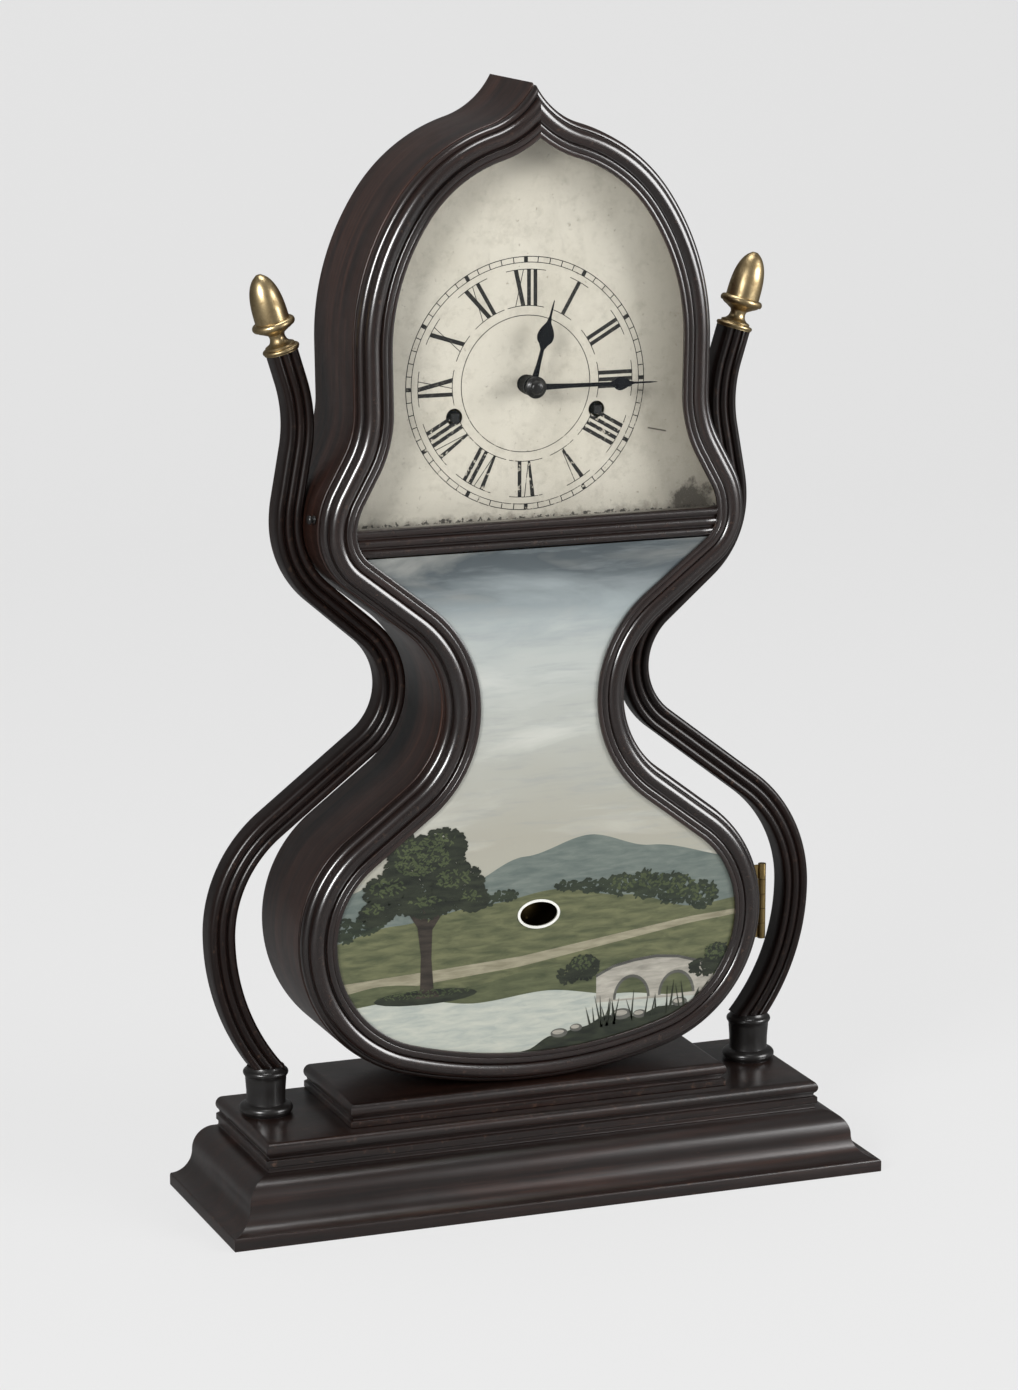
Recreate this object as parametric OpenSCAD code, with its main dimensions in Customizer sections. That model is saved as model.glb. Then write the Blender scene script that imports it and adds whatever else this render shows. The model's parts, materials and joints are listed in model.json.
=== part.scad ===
// Shelf clock in an acorn-shaped bent case, with two bent side arms, a full-width glazed door,
// an eight-day spring movement that strikes on a wire gong, and a stepped base.
// Millimetres. +Z is up, the front faces -Y, and the origin is the middle of the base's footprint.

/* [Base] */
// Width of the base at its bottom edge
base_w = 379; // [372:1:390]
// Depth of the base at its bottom edge
base_d = 120; // [118:1:126]
// How far the base moulding stands out beyond the platform
flare = 27; // [25:0.5:29]
// Height of the square edge at the bottom of the moulding
fillet_h = 6; // [5:0.5:8]
// Height of the curved part of the moulding
ogee_h = 26; // [24:0.5:28]
// Height of the shadow gap under the platform
cove_h = 3; // [2:0.5:4]
// Thickness of the base moulding behind its face
moulding_back = 16; // [14:0.5:18]
// Thickness of the platform slab
platform_h = 13; // [12:0.5:15]
// Thickness of the plinth slab
plinth_h = 13; // [12:0.5:15]
// Half the width of the plinth slab
plinth_half = 111; // [108:0.5:114]
// Front face of the plinth slab
plinth_front_y = -22; // [-23.5:0.5:-20.5]

/* [Case outline] */
// Half width at the bulb
bulb_x = 135; // [134:0.5:136]
// Height of the bulb's widest point above the plinth
bulb_rise = 88; // [87:0.5:89]
// Radius below the bulb's widest point
bulb_low_r = 80; // [79:0.5:81]
// Radius above the bulb's widest point
bulb_up_r = 72; // [71:0.5:73]
// Half width at the waist
waist_x = 52.2; // [51.5:0.1:53]
// Height of the waist above the bulb
waist_rise = 125.5; // [124.5:0.5:126.5]
// Radius at the waist
waist_r = 54; // [53:0.5:55]
// Half width at the shoulder
shoulder_x = 122; // [121.5:0.1:122.5]
// Height of the shoulder above the waist
shoulder_rise = 99.5; // [99:0.5:100.5]
// Radius below the shoulder
shoulder_low_r = 38; // [37:0.5:39]
// Radius above the shoulder
shoulder_up_r = 50; // [48:0.5:52]
// Half width beside the dial
flank_x = 101; // [100.5:0.1:101.3]
// Height of the narrowest place beside the dial above the shoulder
flank_rise = 64; // [63:0.5:65]
// Radius at the narrowest place beside the dial
flank_r = 50; // [48:0.5:52]
// Half width where the dome starts
dome_x = 101.5; // [101.3:0.1:102]
// Height where the dome starts above the narrowest place
dome_rise = 32; // [31:0.5:33]
// Radius of the dome's lower arc
dome_r = 140; // [138:0.5:142]
// Angle that the lower arc turns
dome_turn = 34; // [33:0.5:35]
// Radius of the dome's upper arc
crown_r = 95; // [94:0.5:96]
// Angle from the vertical side at which the upper arc ends
crown_turn = 73; // [72:0.5:74]
// Radius of the small reversed arc that runs up to the tip
tip_r = 45; // [43:0.5:47]

/* [Case] */
// Front edge of the laminated band
band_front_y = -7; // [-7.5:0.1:-6.5]
// Back edge of the laminated band and of the back board
case_back_y = 58; // [56:0.5:60]
// Thickness of the laminated band
band_t = 9; // [8:0.25:10]
// Thickness of the back board
back_t = 6; // [5:0.5:7]

/* [Arms] */
// Width of an arm seen from the front
arm_w = 14.6; // [14:0.1:15.2]
// Depth of an arm
arm_d = 15.5; // [14.5:0.5:16.5]
// Centre plane of the arms
arm_y = 24; // [20:0.5:28]
// Distance of the arm's foot from the middle
foot_x = 144.5; // [143.5:0.25:145.5]
// Height of the collar that holds the foot
collar_h = 27; // [26:0.5:28]
// Distance of the arm's centre from the middle at its bulb
arm_bulb_x = 170; // [169:0.25:171]
// Height of the arm's bulb above the platform
arm_bulb_rise = 102; // [101:0.5:103]
// Radius of the arm above its bulb
arm_bulb_r = 76; // [75:0.5:77]
// Distance of the arm's centre from the middle at its waist
arm_waist_x = 71.5; // [71:0.25:72]
// Height of the arm's waist above its bulb
arm_waist_rise = 133; // [132:0.5:134]
// Radius of the arm at its waist
arm_waist_r = 40; // [39:0.5:41]
// Gap between the arm and the case at the shoulder
arm_gap = 0.3; // [0.2:0.05:0.4]
// Height of the arm's shoulder above its waist
arm_shoulder_rise = 91.5; // [91:0.25:92]
// Radius of the arm below its shoulder
arm_shoulder_low_r = 50; // [49.5:0.25:50.5]
// Radius of the arm above its shoulder
arm_shoulder_up_r = 70; // [68:0.5:72]
// Distance of the arm's centre from the middle at its neck
arm_neck_x = 122.3; // [121.8:0.1:122.8]
// Height of the arm's neck above its shoulder
arm_neck_rise = 54; // [53:0.5:55]
// Radius of the arm at its neck
arm_neck_r = 80; // [78:0.5:82]
// Angle at which the arm's top leans out
arm_lean = 17; // [15:0.5:19]
// Straight length of the arm under its finial
arm_top_run = 16.5; // [14.5:0.5:18.5]
// Height of the finials
finial_h = 43.2; // [41:0.2:45]

/* [Door] */
// Gap between the door's back and the band
door_gap = 1.4; // [1.2:0.1:1.6]
// Thickness of the door frame
door_t = 10.6; // [10.4:0.1:10.9]
// Width of the door frame's moulding
door_w = 18.4; // [18:0.1:19]
// Clearance between the door's edge and the case outline
door_inset = 0.5; // [0.3:0.1:0.8]
// Width of the lip in front of the glass
lip_w = 3.6; // [3.2:0.1:4]
// Thickness of that lip
lip_t = 1.3; // [1.2:0.05:1.4]
// Thickness of the glass panes
glass_t = 1.4; // [1.2:0.1:1.6]
// Lower edge of the rail between the panes
rail_z = 360.5; // [359:0.5:362]
// Height of the rail between the panes
rail_h = 16; // [15:0.5:17]
// Length of the hinge
hinge_l = 42; // [38:1:46]
// Radius of the hinge barrel
hinge_r = 2.2; // [2:0.05:2.3]
// Radius of the hinge pin
hinge_pin_r = 1; // [0.9:0.05:1.1]
// Thickness of the hinge leaves
leaf_t = 0.55; // [0.5:0.05:0.6]
// Height of the turning catch
catch_z = 381; // [378:0.5:384]

/* [Dial and hands] */
// Height of the dial's centre
dial_z = 446.5; // [445:0.5:448]
// Front face of the dial plate
dial_y = 3.1; // [2.9:0.1:3.3]
// Thickness of the dial plate
dial_t = 0.8; // [0.6:0.1:1]
// Radius of the hole for the hands
hand_hole_r = 5; // [4.6:0.1:5.4]
// Radius of the winding holes
wind_hole_r = 4.6; // [4.4:0.1:5]
// Distance of the winding holes from the middle
wind_x = 41; // [40.5:0.1:41.5]
// Distance of the winding holes below the dial's centre
wind_drop = 16; // [15.5:0.1:16.5]
// Length of the hour hand
hour_len = 47.3; // [45.5:0.1:48.5]
// Length of the minute hand
minute_len = 70.5; // [68.5:0.5:71.5]
// Angle of the hour hand past twelve
hour_angle = 15; // [0:0.5:30]
// Angle of the minute hand past twelve
minute_angle = 90.5; // [80:0.5:100]

/* [Movement] */
// Front face of the front plate
plate_y = 13; // [12.8:0.1:13.4]
// Thickness of the movement plates
plate_t = 1.9; // [1.7:0.1:2]
// Space between the plates
plate_gap = 23.5; // [23:0.1:24]
// Half the width of the movement plates
plate_half = 72; // [70:0.5:74]
// Height of the movement plates above the centre
plate_up = 72; // [70:0.5:74]
// Height of the movement plates below the centre
plate_down = 50; // [48:0.5:52]
// Radius of the pivots
pivot_r = 0.8; // [0.7:0.05:0.9]
// Clearance of a pivot or shaft in its hole
run_gap = 0.05; // [0.03:0.01:0.08]
// Radius of the arbors
arbor_r = 1.5; // [1.3:0.05:1.6]
// Thickness of the wheels
wheel_t = 1.2; // [1:0.1:1.4]
// Width of the mainsprings
spring_w = 15; // [14:0.5:16]
// Outer radius of the mainsprings
spring_r = 21.5; // [20.5:0.25:22]
// Length of the pendulum from its bending point to the middle of the bob
pendulum_len = 358.4; // [350:0.2:362]
// Radius of the bob
bob_r = 20; // [18:0.5:21]
// Thickness of the bob
bob_t = 9; // [7:0.5:10]
// Plane in which the pendulum hangs
pendulum_y = 5.5; // [5.45:0.05:5.55]
// Radius of the pendulum wire
rod_r = 0.75; // [0.7:0.05:0.85]
// Height of the gong's centre
gong_z = 336; // [334:0.5:338]
// Radius of the gong's outer coil
gong_r = 29; // [27:0.5:30]

/* [Hidden] */
$fn = 48;

rosewood = [0.24, 0.10, 0.07];
dark_wood = [0.16, 0.07, 0.05];
pine = [0.62, 0.46, 0.30];
black = [0.05, 0.05, 0.05];
gilt = [0.72, 0.56, 0.28];
brass = [0.78, 0.62, 0.28];
steel = [0.55, 0.56, 0.58];
blued = [0.08, 0.09, 0.14];
cream = [0.88, 0.84, 0.72];
clear_glass = [0.75, 0.85, 0.85, 0.35];

// Levels of the base, from the ground up.
moulding_h = fillet_h + ogee_h + cove_h;
platform_top = moulding_h + platform_h;
plinth_top = platform_top + plinth_h;
base_half = base_w / 2;
front_y = -base_d / 2;
rear_y = base_d / 2;
platform_half = base_half - flare;
platform_front_y = front_y + flare;
moulding_in = flare + moulding_back;

// Points of a circular arc in a plane.
function arc(c, r, a0, a1, n) =
    [for (i = [0:n]) let (a = a0 + (a1 - a0) * i / n) c + r * [cos(a), sin(a)]];
function polar(c, r, a) = c + r * [cos(a), sin(a)];
function heading(p, q) = atan2(q[1] - p[1], q[0] - p[0]);
// The place at distance ra from a and rb from b, to the left of the way from a to b when side is 1.
function meet(a, b, ra, rb, side) =
    let (d = norm(b - a), t = acos((ra * ra + d * d - rb * rb) / (2 * ra * d)))
    polar(a, ra, heading(a, b) + side * t);

// A bend is [centre, radius, sign, first angle, last angle, cut]. The sign is 1 where the outline
// bulges and -1 where it is hollow, and the angles are those of the outline's outward normal.
// Cut 1 ends the bend on the middle plane, and cut 2 starts it on the level of the arm's collar.
function centre_of(x, z, r, s) = [x - s * r, z];
// The normal's angle on the straight line that leaves one bend and reaches the next one.
function tangent(c1, r1, s1, c2, r2, s2) =
    let (d = c2 - c1) atan2(d[1], d[0]) - acos((s1 * r1 - s2 * r2) / norm(d));

bulb_z = plinth_top + bulb_rise;
waist_z = bulb_z + waist_rise;
shoulder_z = waist_z + shoulder_rise;
flank_z = shoulder_z + flank_rise;
dome_z = flank_z + dome_rise;
sole_run = bulb_x - bulb_low_r;
sole_r = (pow(sole_run, 2) + pow(bulb_rise, 2) - pow(bulb_low_r, 2)) / (2 * (bulb_rise - bulb_low_r));
sole_c = [0, plinth_top + sole_r];
bulb_low_c = centre_of(bulb_x, bulb_z, bulb_low_r, 1);
bulb_up_c = centre_of(bulb_x, bulb_z, bulb_up_r, 1);
waist_c = centre_of(waist_x, waist_z, waist_r, -1);
shoulder_low_c = centre_of(shoulder_x, shoulder_z, shoulder_low_r, 1);
shoulder_up_c = centre_of(shoulder_x, shoulder_z, shoulder_up_r, 1);
flank_c = centre_of(flank_x, flank_z, flank_r, -1);
dome_c = centre_of(dome_x, dome_z, dome_r, 1);
crown_c = polar(dome_c, dome_r - crown_r, dome_turn);
tip_c = polar(crown_c, crown_r + tip_r, crown_turn);
sole_end = heading(sole_c, bulb_low_c);
into_waist = tangent(bulb_up_c, bulb_up_r, 1, waist_c, waist_r, -1);
out_of_waist = tangent(waist_c, waist_r, -1, shoulder_low_c, shoulder_low_r, 1);
into_flank = tangent(shoulder_up_c, shoulder_up_r, 1, flank_c, flank_r, -1);
out_of_flank = tangent(flank_c, flank_r, -1, dome_c, dome_r, 1);
case_bends = [
    [sole_c, sole_r, 1, -90, sole_end, 0],
    [bulb_low_c, bulb_low_r, 1, sole_end, 0, 0],
    [bulb_up_c, bulb_up_r, 1, 0, into_waist, 0],
    [waist_c, waist_r, -1, into_waist, out_of_waist, 0],
    [shoulder_low_c, shoulder_low_r, 1, out_of_waist, 0, 0],
    [shoulder_up_c, shoulder_up_r, 1, 0, into_flank, 0],
    [flank_c, flank_r, -1, into_flank, out_of_flank, 0],
    [dome_c, dome_r, 1, out_of_flank, dome_turn, 0],
    [crown_c, crown_r, 1, dome_turn, crown_turn, 0],
    [tip_c, tip_r, -1, crown_turn, acos(tip_c[0] / tip_r), 1]
];
collar_top = platform_top + collar_h;
bend_step = 7;
function bend_steps(b) = max(1, ceil(abs(b[4] - b[3]) / bend_step));
function first_angle(b, u) = b[5] == 2 ? asin((collar_top - b[0][1]) / (b[1] - b[2] * u)) : b[3];
function last_angle(b, u) = b[5] == 1 ? acos(b[0][0] / (b[1] - b[2] * u)) : b[4];
// A point on a bend, moved in by u, at the share t of the way along it.
function bend_point(b, u, t) =
    let (a = first_angle(b, u) + t * (last_angle(b, u) - first_angle(b, u)))
    b[0] + b[2] * (b[1] - b[2] * u) * [cos(a), sin(a)];
function meets(b, c) = norm(bend_point(b, 0, 1) - bend_point(c, 0, 0)) < 0.01;
// All the points of a row of bends, moved in by u.
function path(bends, u) = [for (i = [0:len(bends) - 1])
    let (n = bend_steps(bends[i]), k0 = i > 0 && meets(bends[i - 1], bends[i]) ? 1 : 0)
    for (k = [k0:n]) bend_point(bends[i], u, k / n)];
// The case outline, moved in by u.
module outline_area(u) {
    half = path(case_bends, u);
    last = len(half) - 1;
    polygon(concat(half, [for (i = [last - 1:-1:1]) [-half[i][0], half[i][1]]]));
}
case_top = tip_c[1] - sqrt(tip_r * tip_r - tip_c[0] * tip_c[0]);

// Solids between two depths, drawn as seen from the front.
module along_y(y0, y1) {
    translate([0, y1, 0])
        rotate([90, 0, 0])
            linear_extrude(y1 - y0)
                children();
}
module rod_y(p, r, y0, y1) {
    translate([p[0], y1, p[1]])
        rotate([90, 0, 0])
            cylinder(r = r, h = y1 - y0);
}
module rod_x(r, x0, x1, y, z) {
    translate([x0, y, z])
        rotate([0, 90, 0])
            cylinder(r = r, h = x1 - x0);
}
module rod_z(r, z0, z1, x, y) {
    translate([x, y, z0])
        cylinder(r = r, h = z1 - z0);
}
// A straight wire between two points, with a ball at its far end.
module wire(r, p, q) {
    d = q - p;
    translate(p)
        rotate([0, acos(d[2] / norm(d)), atan2(d[1], d[0])])
            cylinder(r = r, h = norm(d), $fn = 16);
    translate(q)
        sphere(r = 1.08 * r, $fn = 16);
}
module box(p, q) {
    translate(p)
        cube(q - p);
}

// A closed solid that carries a profile of [distance in, depth] points along a row of bends.
// The path may end in one straight run, given as a vector.
module sweep(bends, profile, run = [0, 0]) {
    m = len(profile);
    rows = [for (p = profile) let (r = path(bends, p[0])) norm(run) > 0 ? concat(r, [r[len(r) - 1] + run]) : r];
    n = len(rows[0]);
    points = [for (i = [0:n - 1], j = [0:m - 1]) [rows[j][i][0], profile[j][1], rows[j][i][1]]];
    sides = [for (i = [0:n - 2], j = [0:m - 1]) let (a = i * m + j, b = i * m + (j + 1) % m)
        each [[a, a + m, b + m], [a, b + m, b]]];
    ends = [[for (j = [0:m - 1]) j], [for (j = [m - 1:-1:0]) (n - 1) * m + j]];
    polyhedron(points, concat(sides, ends), convexity = 8);
}

// Base
function moulding_profile() = let (r = ogee_h / 2 - 0.5, e = flare - 0.5, z = fillet_h + 1) concat(
    [[-moulding_back, 0], [flare, 0], [flare, fillet_h]],
    arc([e, z + r], r, 270, 180, 6),
    arc([e - 2 * r, z + r], r, 0, 90, 6),
    [[-1.5, moulding_h - cove_h], [-1.5, moulding_h], [-moulding_back, moulding_h]]);
module base_front_moulding() color(rosewood)
    intersection() {
        translate([-base_half, platform_front_y, 0])
            rotate([90, 0, 90])
                linear_extrude(base_w)
                    polygon([for (p = moulding_profile()) [-p[0], p[1]]]);
        linear_extrude(moulding_h)
            polygon([[-base_half, front_y], [base_half, front_y],
                     [base_half - moulding_in, front_y + moulding_in],
                     [-base_half + moulding_in, front_y + moulding_in]]);
    }
module side_moulding() color(rosewood)
    intersection() {
        translate([platform_half, rear_y, 0])
            rotate([90, 0, 0])
                linear_extrude(base_d)
                    polygon(moulding_profile());
        linear_extrude(moulding_h)
            polygon([[base_half, front_y], [base_half, rear_y],
                     [base_half - moulding_in, rear_y], [base_half - moulding_in, front_y + moulding_in]]);
    }
module base_right_moulding() side_moulding();
module base_left_moulding() mirror([1, 0, 0]) side_moulding();
rail_t = 12;
block_s = 22;
// The rail under the back edge, with glue blocks in the four corners.
module base_back_rail() color(pine) {
    box([moulding_in - base_half, rear_y - rail_t, 0], [base_half - moulding_in, rear_y, moulding_h]);
    for (s = [-1, 1], y = [front_y + moulding_in, rear_y - rail_t - block_s + 1]) {
        x = s * (base_half - moulding_in - block_s / 2);
        box([x - block_s / 2, y, 2], [x + block_s / 2, y + block_s, moulding_h]);
    }
}
screw_x = 34;
screw_y = 24;
screw_r = 2;
// Edge of a slab as [distance in, height] points: a flush band, a groove, then a rounded nose.
function slab_edge(h) = let (r = 0.3 * h) concat(
    [[0.3, 0], [0.3, 0.3 * h], [2.2, 0.33 * h], [2.2, 0.38 * h]],
    arc([r, h - r], r, 240, 90, 8));
module edged_slab(half, y0, y1, z, h) {
    edge = slab_edge(h);
    n = len(edge) - 1;
    intersection() {
        translate([-half, 0, z])
            rotate([90, 0, 90])
                linear_extrude(2 * half)
                    polygon(concat([for (p = edge) [y0 + p[0], p[1]]], [[y1, h], [y1, 0]]));
        translate([0, y1, z])
            rotate([90, 0, 0])
                linear_extrude(y1 - y0)
                    polygon(concat([for (p = edge) [p[0] - half, p[1]]],
                                   [for (i = [n:-1:0]) [half - edge[i][0], edge[i][1]]]));
    }
}
module screw_holes(z0, z1)
    for (s = [-1, 1])
        rod_z(screw_r + run_gap, z0, z1, s * screw_x, screw_y);
module base_platform() color(rosewood)
    difference() {
        edged_slab(platform_half, platform_front_y, rear_y, moulding_h, platform_h);
        screw_holes(0, plinth_top);
    }
module case_plinth() color(rosewood)
    difference() {
        edged_slab(plinth_half, plinth_front_y, rear_y, platform_top, plinth_h);
        screw_holes(0, case_top);
    }
screw_head_h = 3;
module base_screws() color(steel)
    for (s = [-1, 1]) {
        rod_z(screw_r, moulding_h - screw_head_h, plinth_top + 6, s * screw_x, screw_y);
        rod_z(2 * screw_r, moulding_h - screw_head_h, moulding_h, s * screw_x, screw_y);
    }

// Case
catch_y = -2.2;
catch_spindle_r = 1.6;
// The outline's half width at the catch.
catch_x = shoulder_up_c[0] + sqrt(pow(shoulder_up_r, 2) - pow(catch_z - shoulder_z, 2));
module case_half() color(rosewood)
    difference() {
        sweep(case_bends, [[0, band_front_y], [band_t, band_front_y], [band_t, case_back_y], [0, case_back_y]]);
        screw_holes(0, bulb_z);
    }
module case_band_right() case_half();
module case_band_left() color(rosewood)
    difference() {
        mirror([1, 0, 0]) case_half();
        rod_x(catch_spindle_r + run_gap, -catch_x - band_t, -catch_x + 2 * band_t, catch_y, catch_z);
    }
back_inset = band_t + 0.1;
module back_board() color(pine)
    along_y(case_back_y - back_t, case_back_y)
        outline_area(back_inset);

// Arms, as bends of their centre line.
arm_half = arm_w / 2;
arm_bulb_z = platform_top + arm_bulb_rise;
arm_waist_z = arm_bulb_z + arm_waist_rise;
arm_shoulder_z = arm_waist_z + arm_shoulder_rise;
arm_neck_z = arm_shoulder_z + arm_neck_rise;
arm_shoulder_x = shoulder_x + arm_gap + arm_half;
foot_lean = 2 * atan((arm_bulb_x - foot_x) / (arm_bulb_z - collar_top));
foot_r = (arm_bulb_z - collar_top) / sin(foot_lean);
arm_foot_c = centre_of(arm_bulb_x, arm_bulb_z, foot_r, 1);
arm_bulb_c = centre_of(arm_bulb_x, arm_bulb_z, arm_bulb_r, 1);
arm_waist_c = centre_of(arm_waist_x, arm_waist_z, arm_waist_r, -1);
arm_low_c = centre_of(arm_shoulder_x, arm_shoulder_z, arm_shoulder_low_r, 1);
arm_up_c = centre_of(arm_shoulder_x, arm_shoulder_z, arm_shoulder_up_r, 1);
arm_neck_c = centre_of(arm_neck_x, arm_neck_z, arm_neck_r, -1);
arm_in = tangent(arm_bulb_c, arm_bulb_r, 1, arm_waist_c, arm_waist_r, -1);
arm_out = tangent(arm_waist_c, arm_waist_r, -1, arm_low_c, arm_shoulder_low_r, 1);
arm_to_neck = tangent(arm_up_c, arm_shoulder_up_r, 1, arm_neck_c, arm_neck_r, -1);
arm_bends = [
    [arm_foot_c, foot_r, 1, -foot_lean, 0, 2],
    [arm_bulb_c, arm_bulb_r, 1, 0, arm_in, 0],
    [arm_waist_c, arm_waist_r, -1, arm_in, arm_out, 0],
    [arm_low_c, arm_shoulder_low_r, 1, arm_out, 0, 0],
    [arm_up_c, arm_shoulder_up_r, 1, 0, arm_to_neck, 0],
    [arm_neck_c, arm_neck_r, -1, arm_to_neck, -arm_lean, 0]
];
arm_neck_end = arm_neck_c - arm_neck_r * [cos(-arm_lean), sin(-arm_lean)];
arm_dir = [sin(arm_lean), cos(arm_lean)];
arm_end = arm_neck_end + arm_top_run * arm_dir;
// Three rounded reeds across the front, with two grooves between them.
function arm_profile() = let (w = arm_w / 3, y0 = arm_y - arm_d / 2, y1 = arm_y + arm_d / 2) concat(
    [[-arm_half, y1]],
    [for (i = [0:2]) each arc([-arm_half + w * (i + 0.5), y0 + w / 2 - 0.4], w / 2, 200, 340, 4)],
    [[arm_half, y1]]);
module arm() color(dark_wood)
    sweep(arm_bends, arm_profile(), arm_top_run * arm_dir);
module right_arm() arm();
module left_arm() mirror([1, 0, 0]) arm();
module collar() color(black)
    translate([foot_x, arm_y, platform_top])
        rotate_extrude()
            polygon(concat([[0, 0], [13.2, 0]],
                arc([12.2, 3], 2.6, -60, 75, 6),
                [[10.8, 6.4], [11.4, collar_h - 6.2]],
                arc([10.6, collar_h - 3.6], 1.9, -40, 60, 5),
                [[10.6, collar_h], [0, collar_h]]));
module right_arm_collar() collar();
module left_arm_collar() mirror([1, 0, 0]) collar();
// An acorn: stepped foot, neck, cup and blunt nut, drawn 43.2 high.
nut_r = 9.3;
nut_z = 17.4;
nut_h = 25.8;
acorn = concat(
    [[0, 0], [9.6, 0]],
    arc([8.9, 1.5], 1.2, -60, 80, 4),
    [[8, 3], [8, 4], [5.6, 5.2], [4.4, 7], [4.2, 8.8], [5, 11]],
    arc([6.2, 17.2], 5.4, -60, -25, 3),
    arc([9.6, 15.4], 2.15, -50, 80, 6),
    [for (t = [0:0.1:0.9]) [nut_r * pow(1 - pow(t, 2.8), 0.55), nut_z + nut_h * t]],
    [[nut_r * 0.27, nut_z + nut_h * 0.975], [0, nut_z + nut_h]]);
module finial() color(gilt)
    translate([arm_end[0], arm_y, arm_end[1]])
        rotate([0, arm_lean, 0])
            rotate_extrude()
                polygon([for (p = acorn) [p[0], p[1] * finial_h / (nut_z + nut_h)]]);
module right_finial() finial();
module left_finial() mirror([1, 0, 0]) finial();

// Door
door_back_y = band_front_y - door_gap;
door_front_y = door_back_y - door_t;
step_w = door_w - lip_w;
glass_back_y = door_front_y + lip_t + glass_t;
glass_gap = 0.3;
// Moulding across the door frame: quarter round set back, groove, large rib, groove and flat band.
function at_front(pts) = [for (p = pts) [p[0], door_front_y + p[1]]];
rib_in = door_w - 10.4;
rib_r = 3.1;
door_profile = concat(
    [[door_inset, door_back_y]],
    at_front(concat(
        [[door_inset, 7.8]],
        arc([door_inset + 3.6, 7.4], 3.5, 180, 265, 3),
        [[door_inset + 4.1, 4.7]],
        arc([rib_in, rib_r], rib_r, 195, 345, 5),
        [[door_w - 6.8, 2.3], [door_w - 6.3, 0.2], [door_w - 3.4, 0.1], [door_w - 3.1, 0.5], [door_w - 2.8, 0.1],
         [door_w - 0.5, 0.1], [door_w, 0.6], [door_w, lip_t], [step_w, lip_t]])),
    [[step_w, door_back_y]]);
pocket_w = 4.2;
pocket_half = 9;
pocket_deep = 4.5;
blade_t = 1.6;
blade_x = catch_x - band_t - 2.6;
rail_in = step_w + glass_gap;
hinge_x = bulb_x + 2.6;
hinge_y = (door_back_y + band_front_y) / 2;
module door_half() color(rosewood)
    sweep(case_bends, door_profile);
module door_frame_right() door_half();
module door_frame_left() color(rosewood)
    difference() {
        mirror([1, 0, 0]) door_half();
        box([-blade_x - pocket_w / 2, door_back_y - pocket_deep, catch_z - pocket_half],
            [-blade_x + pocket_w / 2, door_back_y + 1, catch_z + pocket_half]);
    }
// Three reeds along the front of the rail.
function rail_profile() = let (h = rail_h / 3, y = door_front_y + 2.2) concat(
    [for (i = [0:2]) each arc([y + 0.9, rail_z + h * (i + 0.5)], h * 0.47, 250, 110, 5)],
    [[door_back_y - 5, rail_z + rail_h], [door_back_y - 5, rail_z]]);
module door_cross_rail() color(rosewood)
    intersection() {
        translate([-shoulder_x, 0, 0])
            rotate([90, 0, 90])
                linear_extrude(2 * shoulder_x)
                    polygon(rail_profile());
        union() {
            along_y(door_front_y - 2, door_front_y + lip_t + 0.1)
                outline_area(door_w + 0.1);
            along_y(door_front_y + lip_t + 0.1, door_back_y)
                outline_area(rail_in);
        }
    }
pane_inset = rail_in + 0.1;
module pane(z0, z1) color(clear_glass)
    intersection() {
        along_y(door_front_y + lip_t + 0.1, glass_back_y)
            outline_area(pane_inset);
        box([-base_half, -base_d, z0], [base_half, base_d, z1]);
    }
module dial_glass() pane(rail_z + rail_h + glass_gap, case_top);
module tablet_glass() pane(0, rail_z - glass_gap);

// Hinge: five knuckles on one vertical pin. The leaves lie in the gap between door and case.
knuckle_l = hinge_l / 5;
knuckle_gap = 0.15;
leaf_w = 11;
module knuckles(which)
    for (i = which)
        difference() {
            rod_z(hinge_r, bulb_z - hinge_l / 2 + i * knuckle_l + knuckle_gap,
                  bulb_z - hinge_l / 2 + (i + 1) * knuckle_l - knuckle_gap, hinge_x, hinge_y);
            rod_z(hinge_pin_r + run_gap, 0, case_top, hinge_x, hinge_y);
        }
module leaf(y0, y1, which)
    for (i = which)
        box([hinge_x - leaf_w, y0, bulb_z - hinge_l / 2 + i * knuckle_l + knuckle_gap],
            [hinge_x - hinge_pin_r - run_gap - 0.2, y1, bulb_z - hinge_l / 2 + (i + 1) * knuckle_l - knuckle_gap]);
module leaf_back(y0, y1)
    box([hinge_x - leaf_w, y0, bulb_z - hinge_l / 2 + knuckle_gap],
        [hinge_x - hinge_r - 0.6, y1, bulb_z + hinge_l / 2 - knuckle_gap]);
module case_hinge_leaf() color(brass) {
    knuckles([0, 2, 4]);
    leaf(band_front_y - leaf_t, band_front_y, [0, 2, 4]);
    leaf_back(band_front_y - leaf_t, band_front_y);
    rod_z(hinge_pin_r, bulb_z - hinge_l / 2, bulb_z + hinge_l / 2, hinge_x, hinge_y);
    for (s = [-1, 1])
        rod_z(hinge_r, bulb_z + s * hinge_l / 2 - 0.5, bulb_z + s * hinge_l / 2 + 0.5, hinge_x, hinge_y);
}
module door_hinge_leaf() color(brass) {
    knuckles([1, 3]);
    leaf(door_back_y, door_back_y + leaf_t, [1, 3]);
    leaf_back(door_back_y, door_back_y + leaf_t);
}
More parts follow.
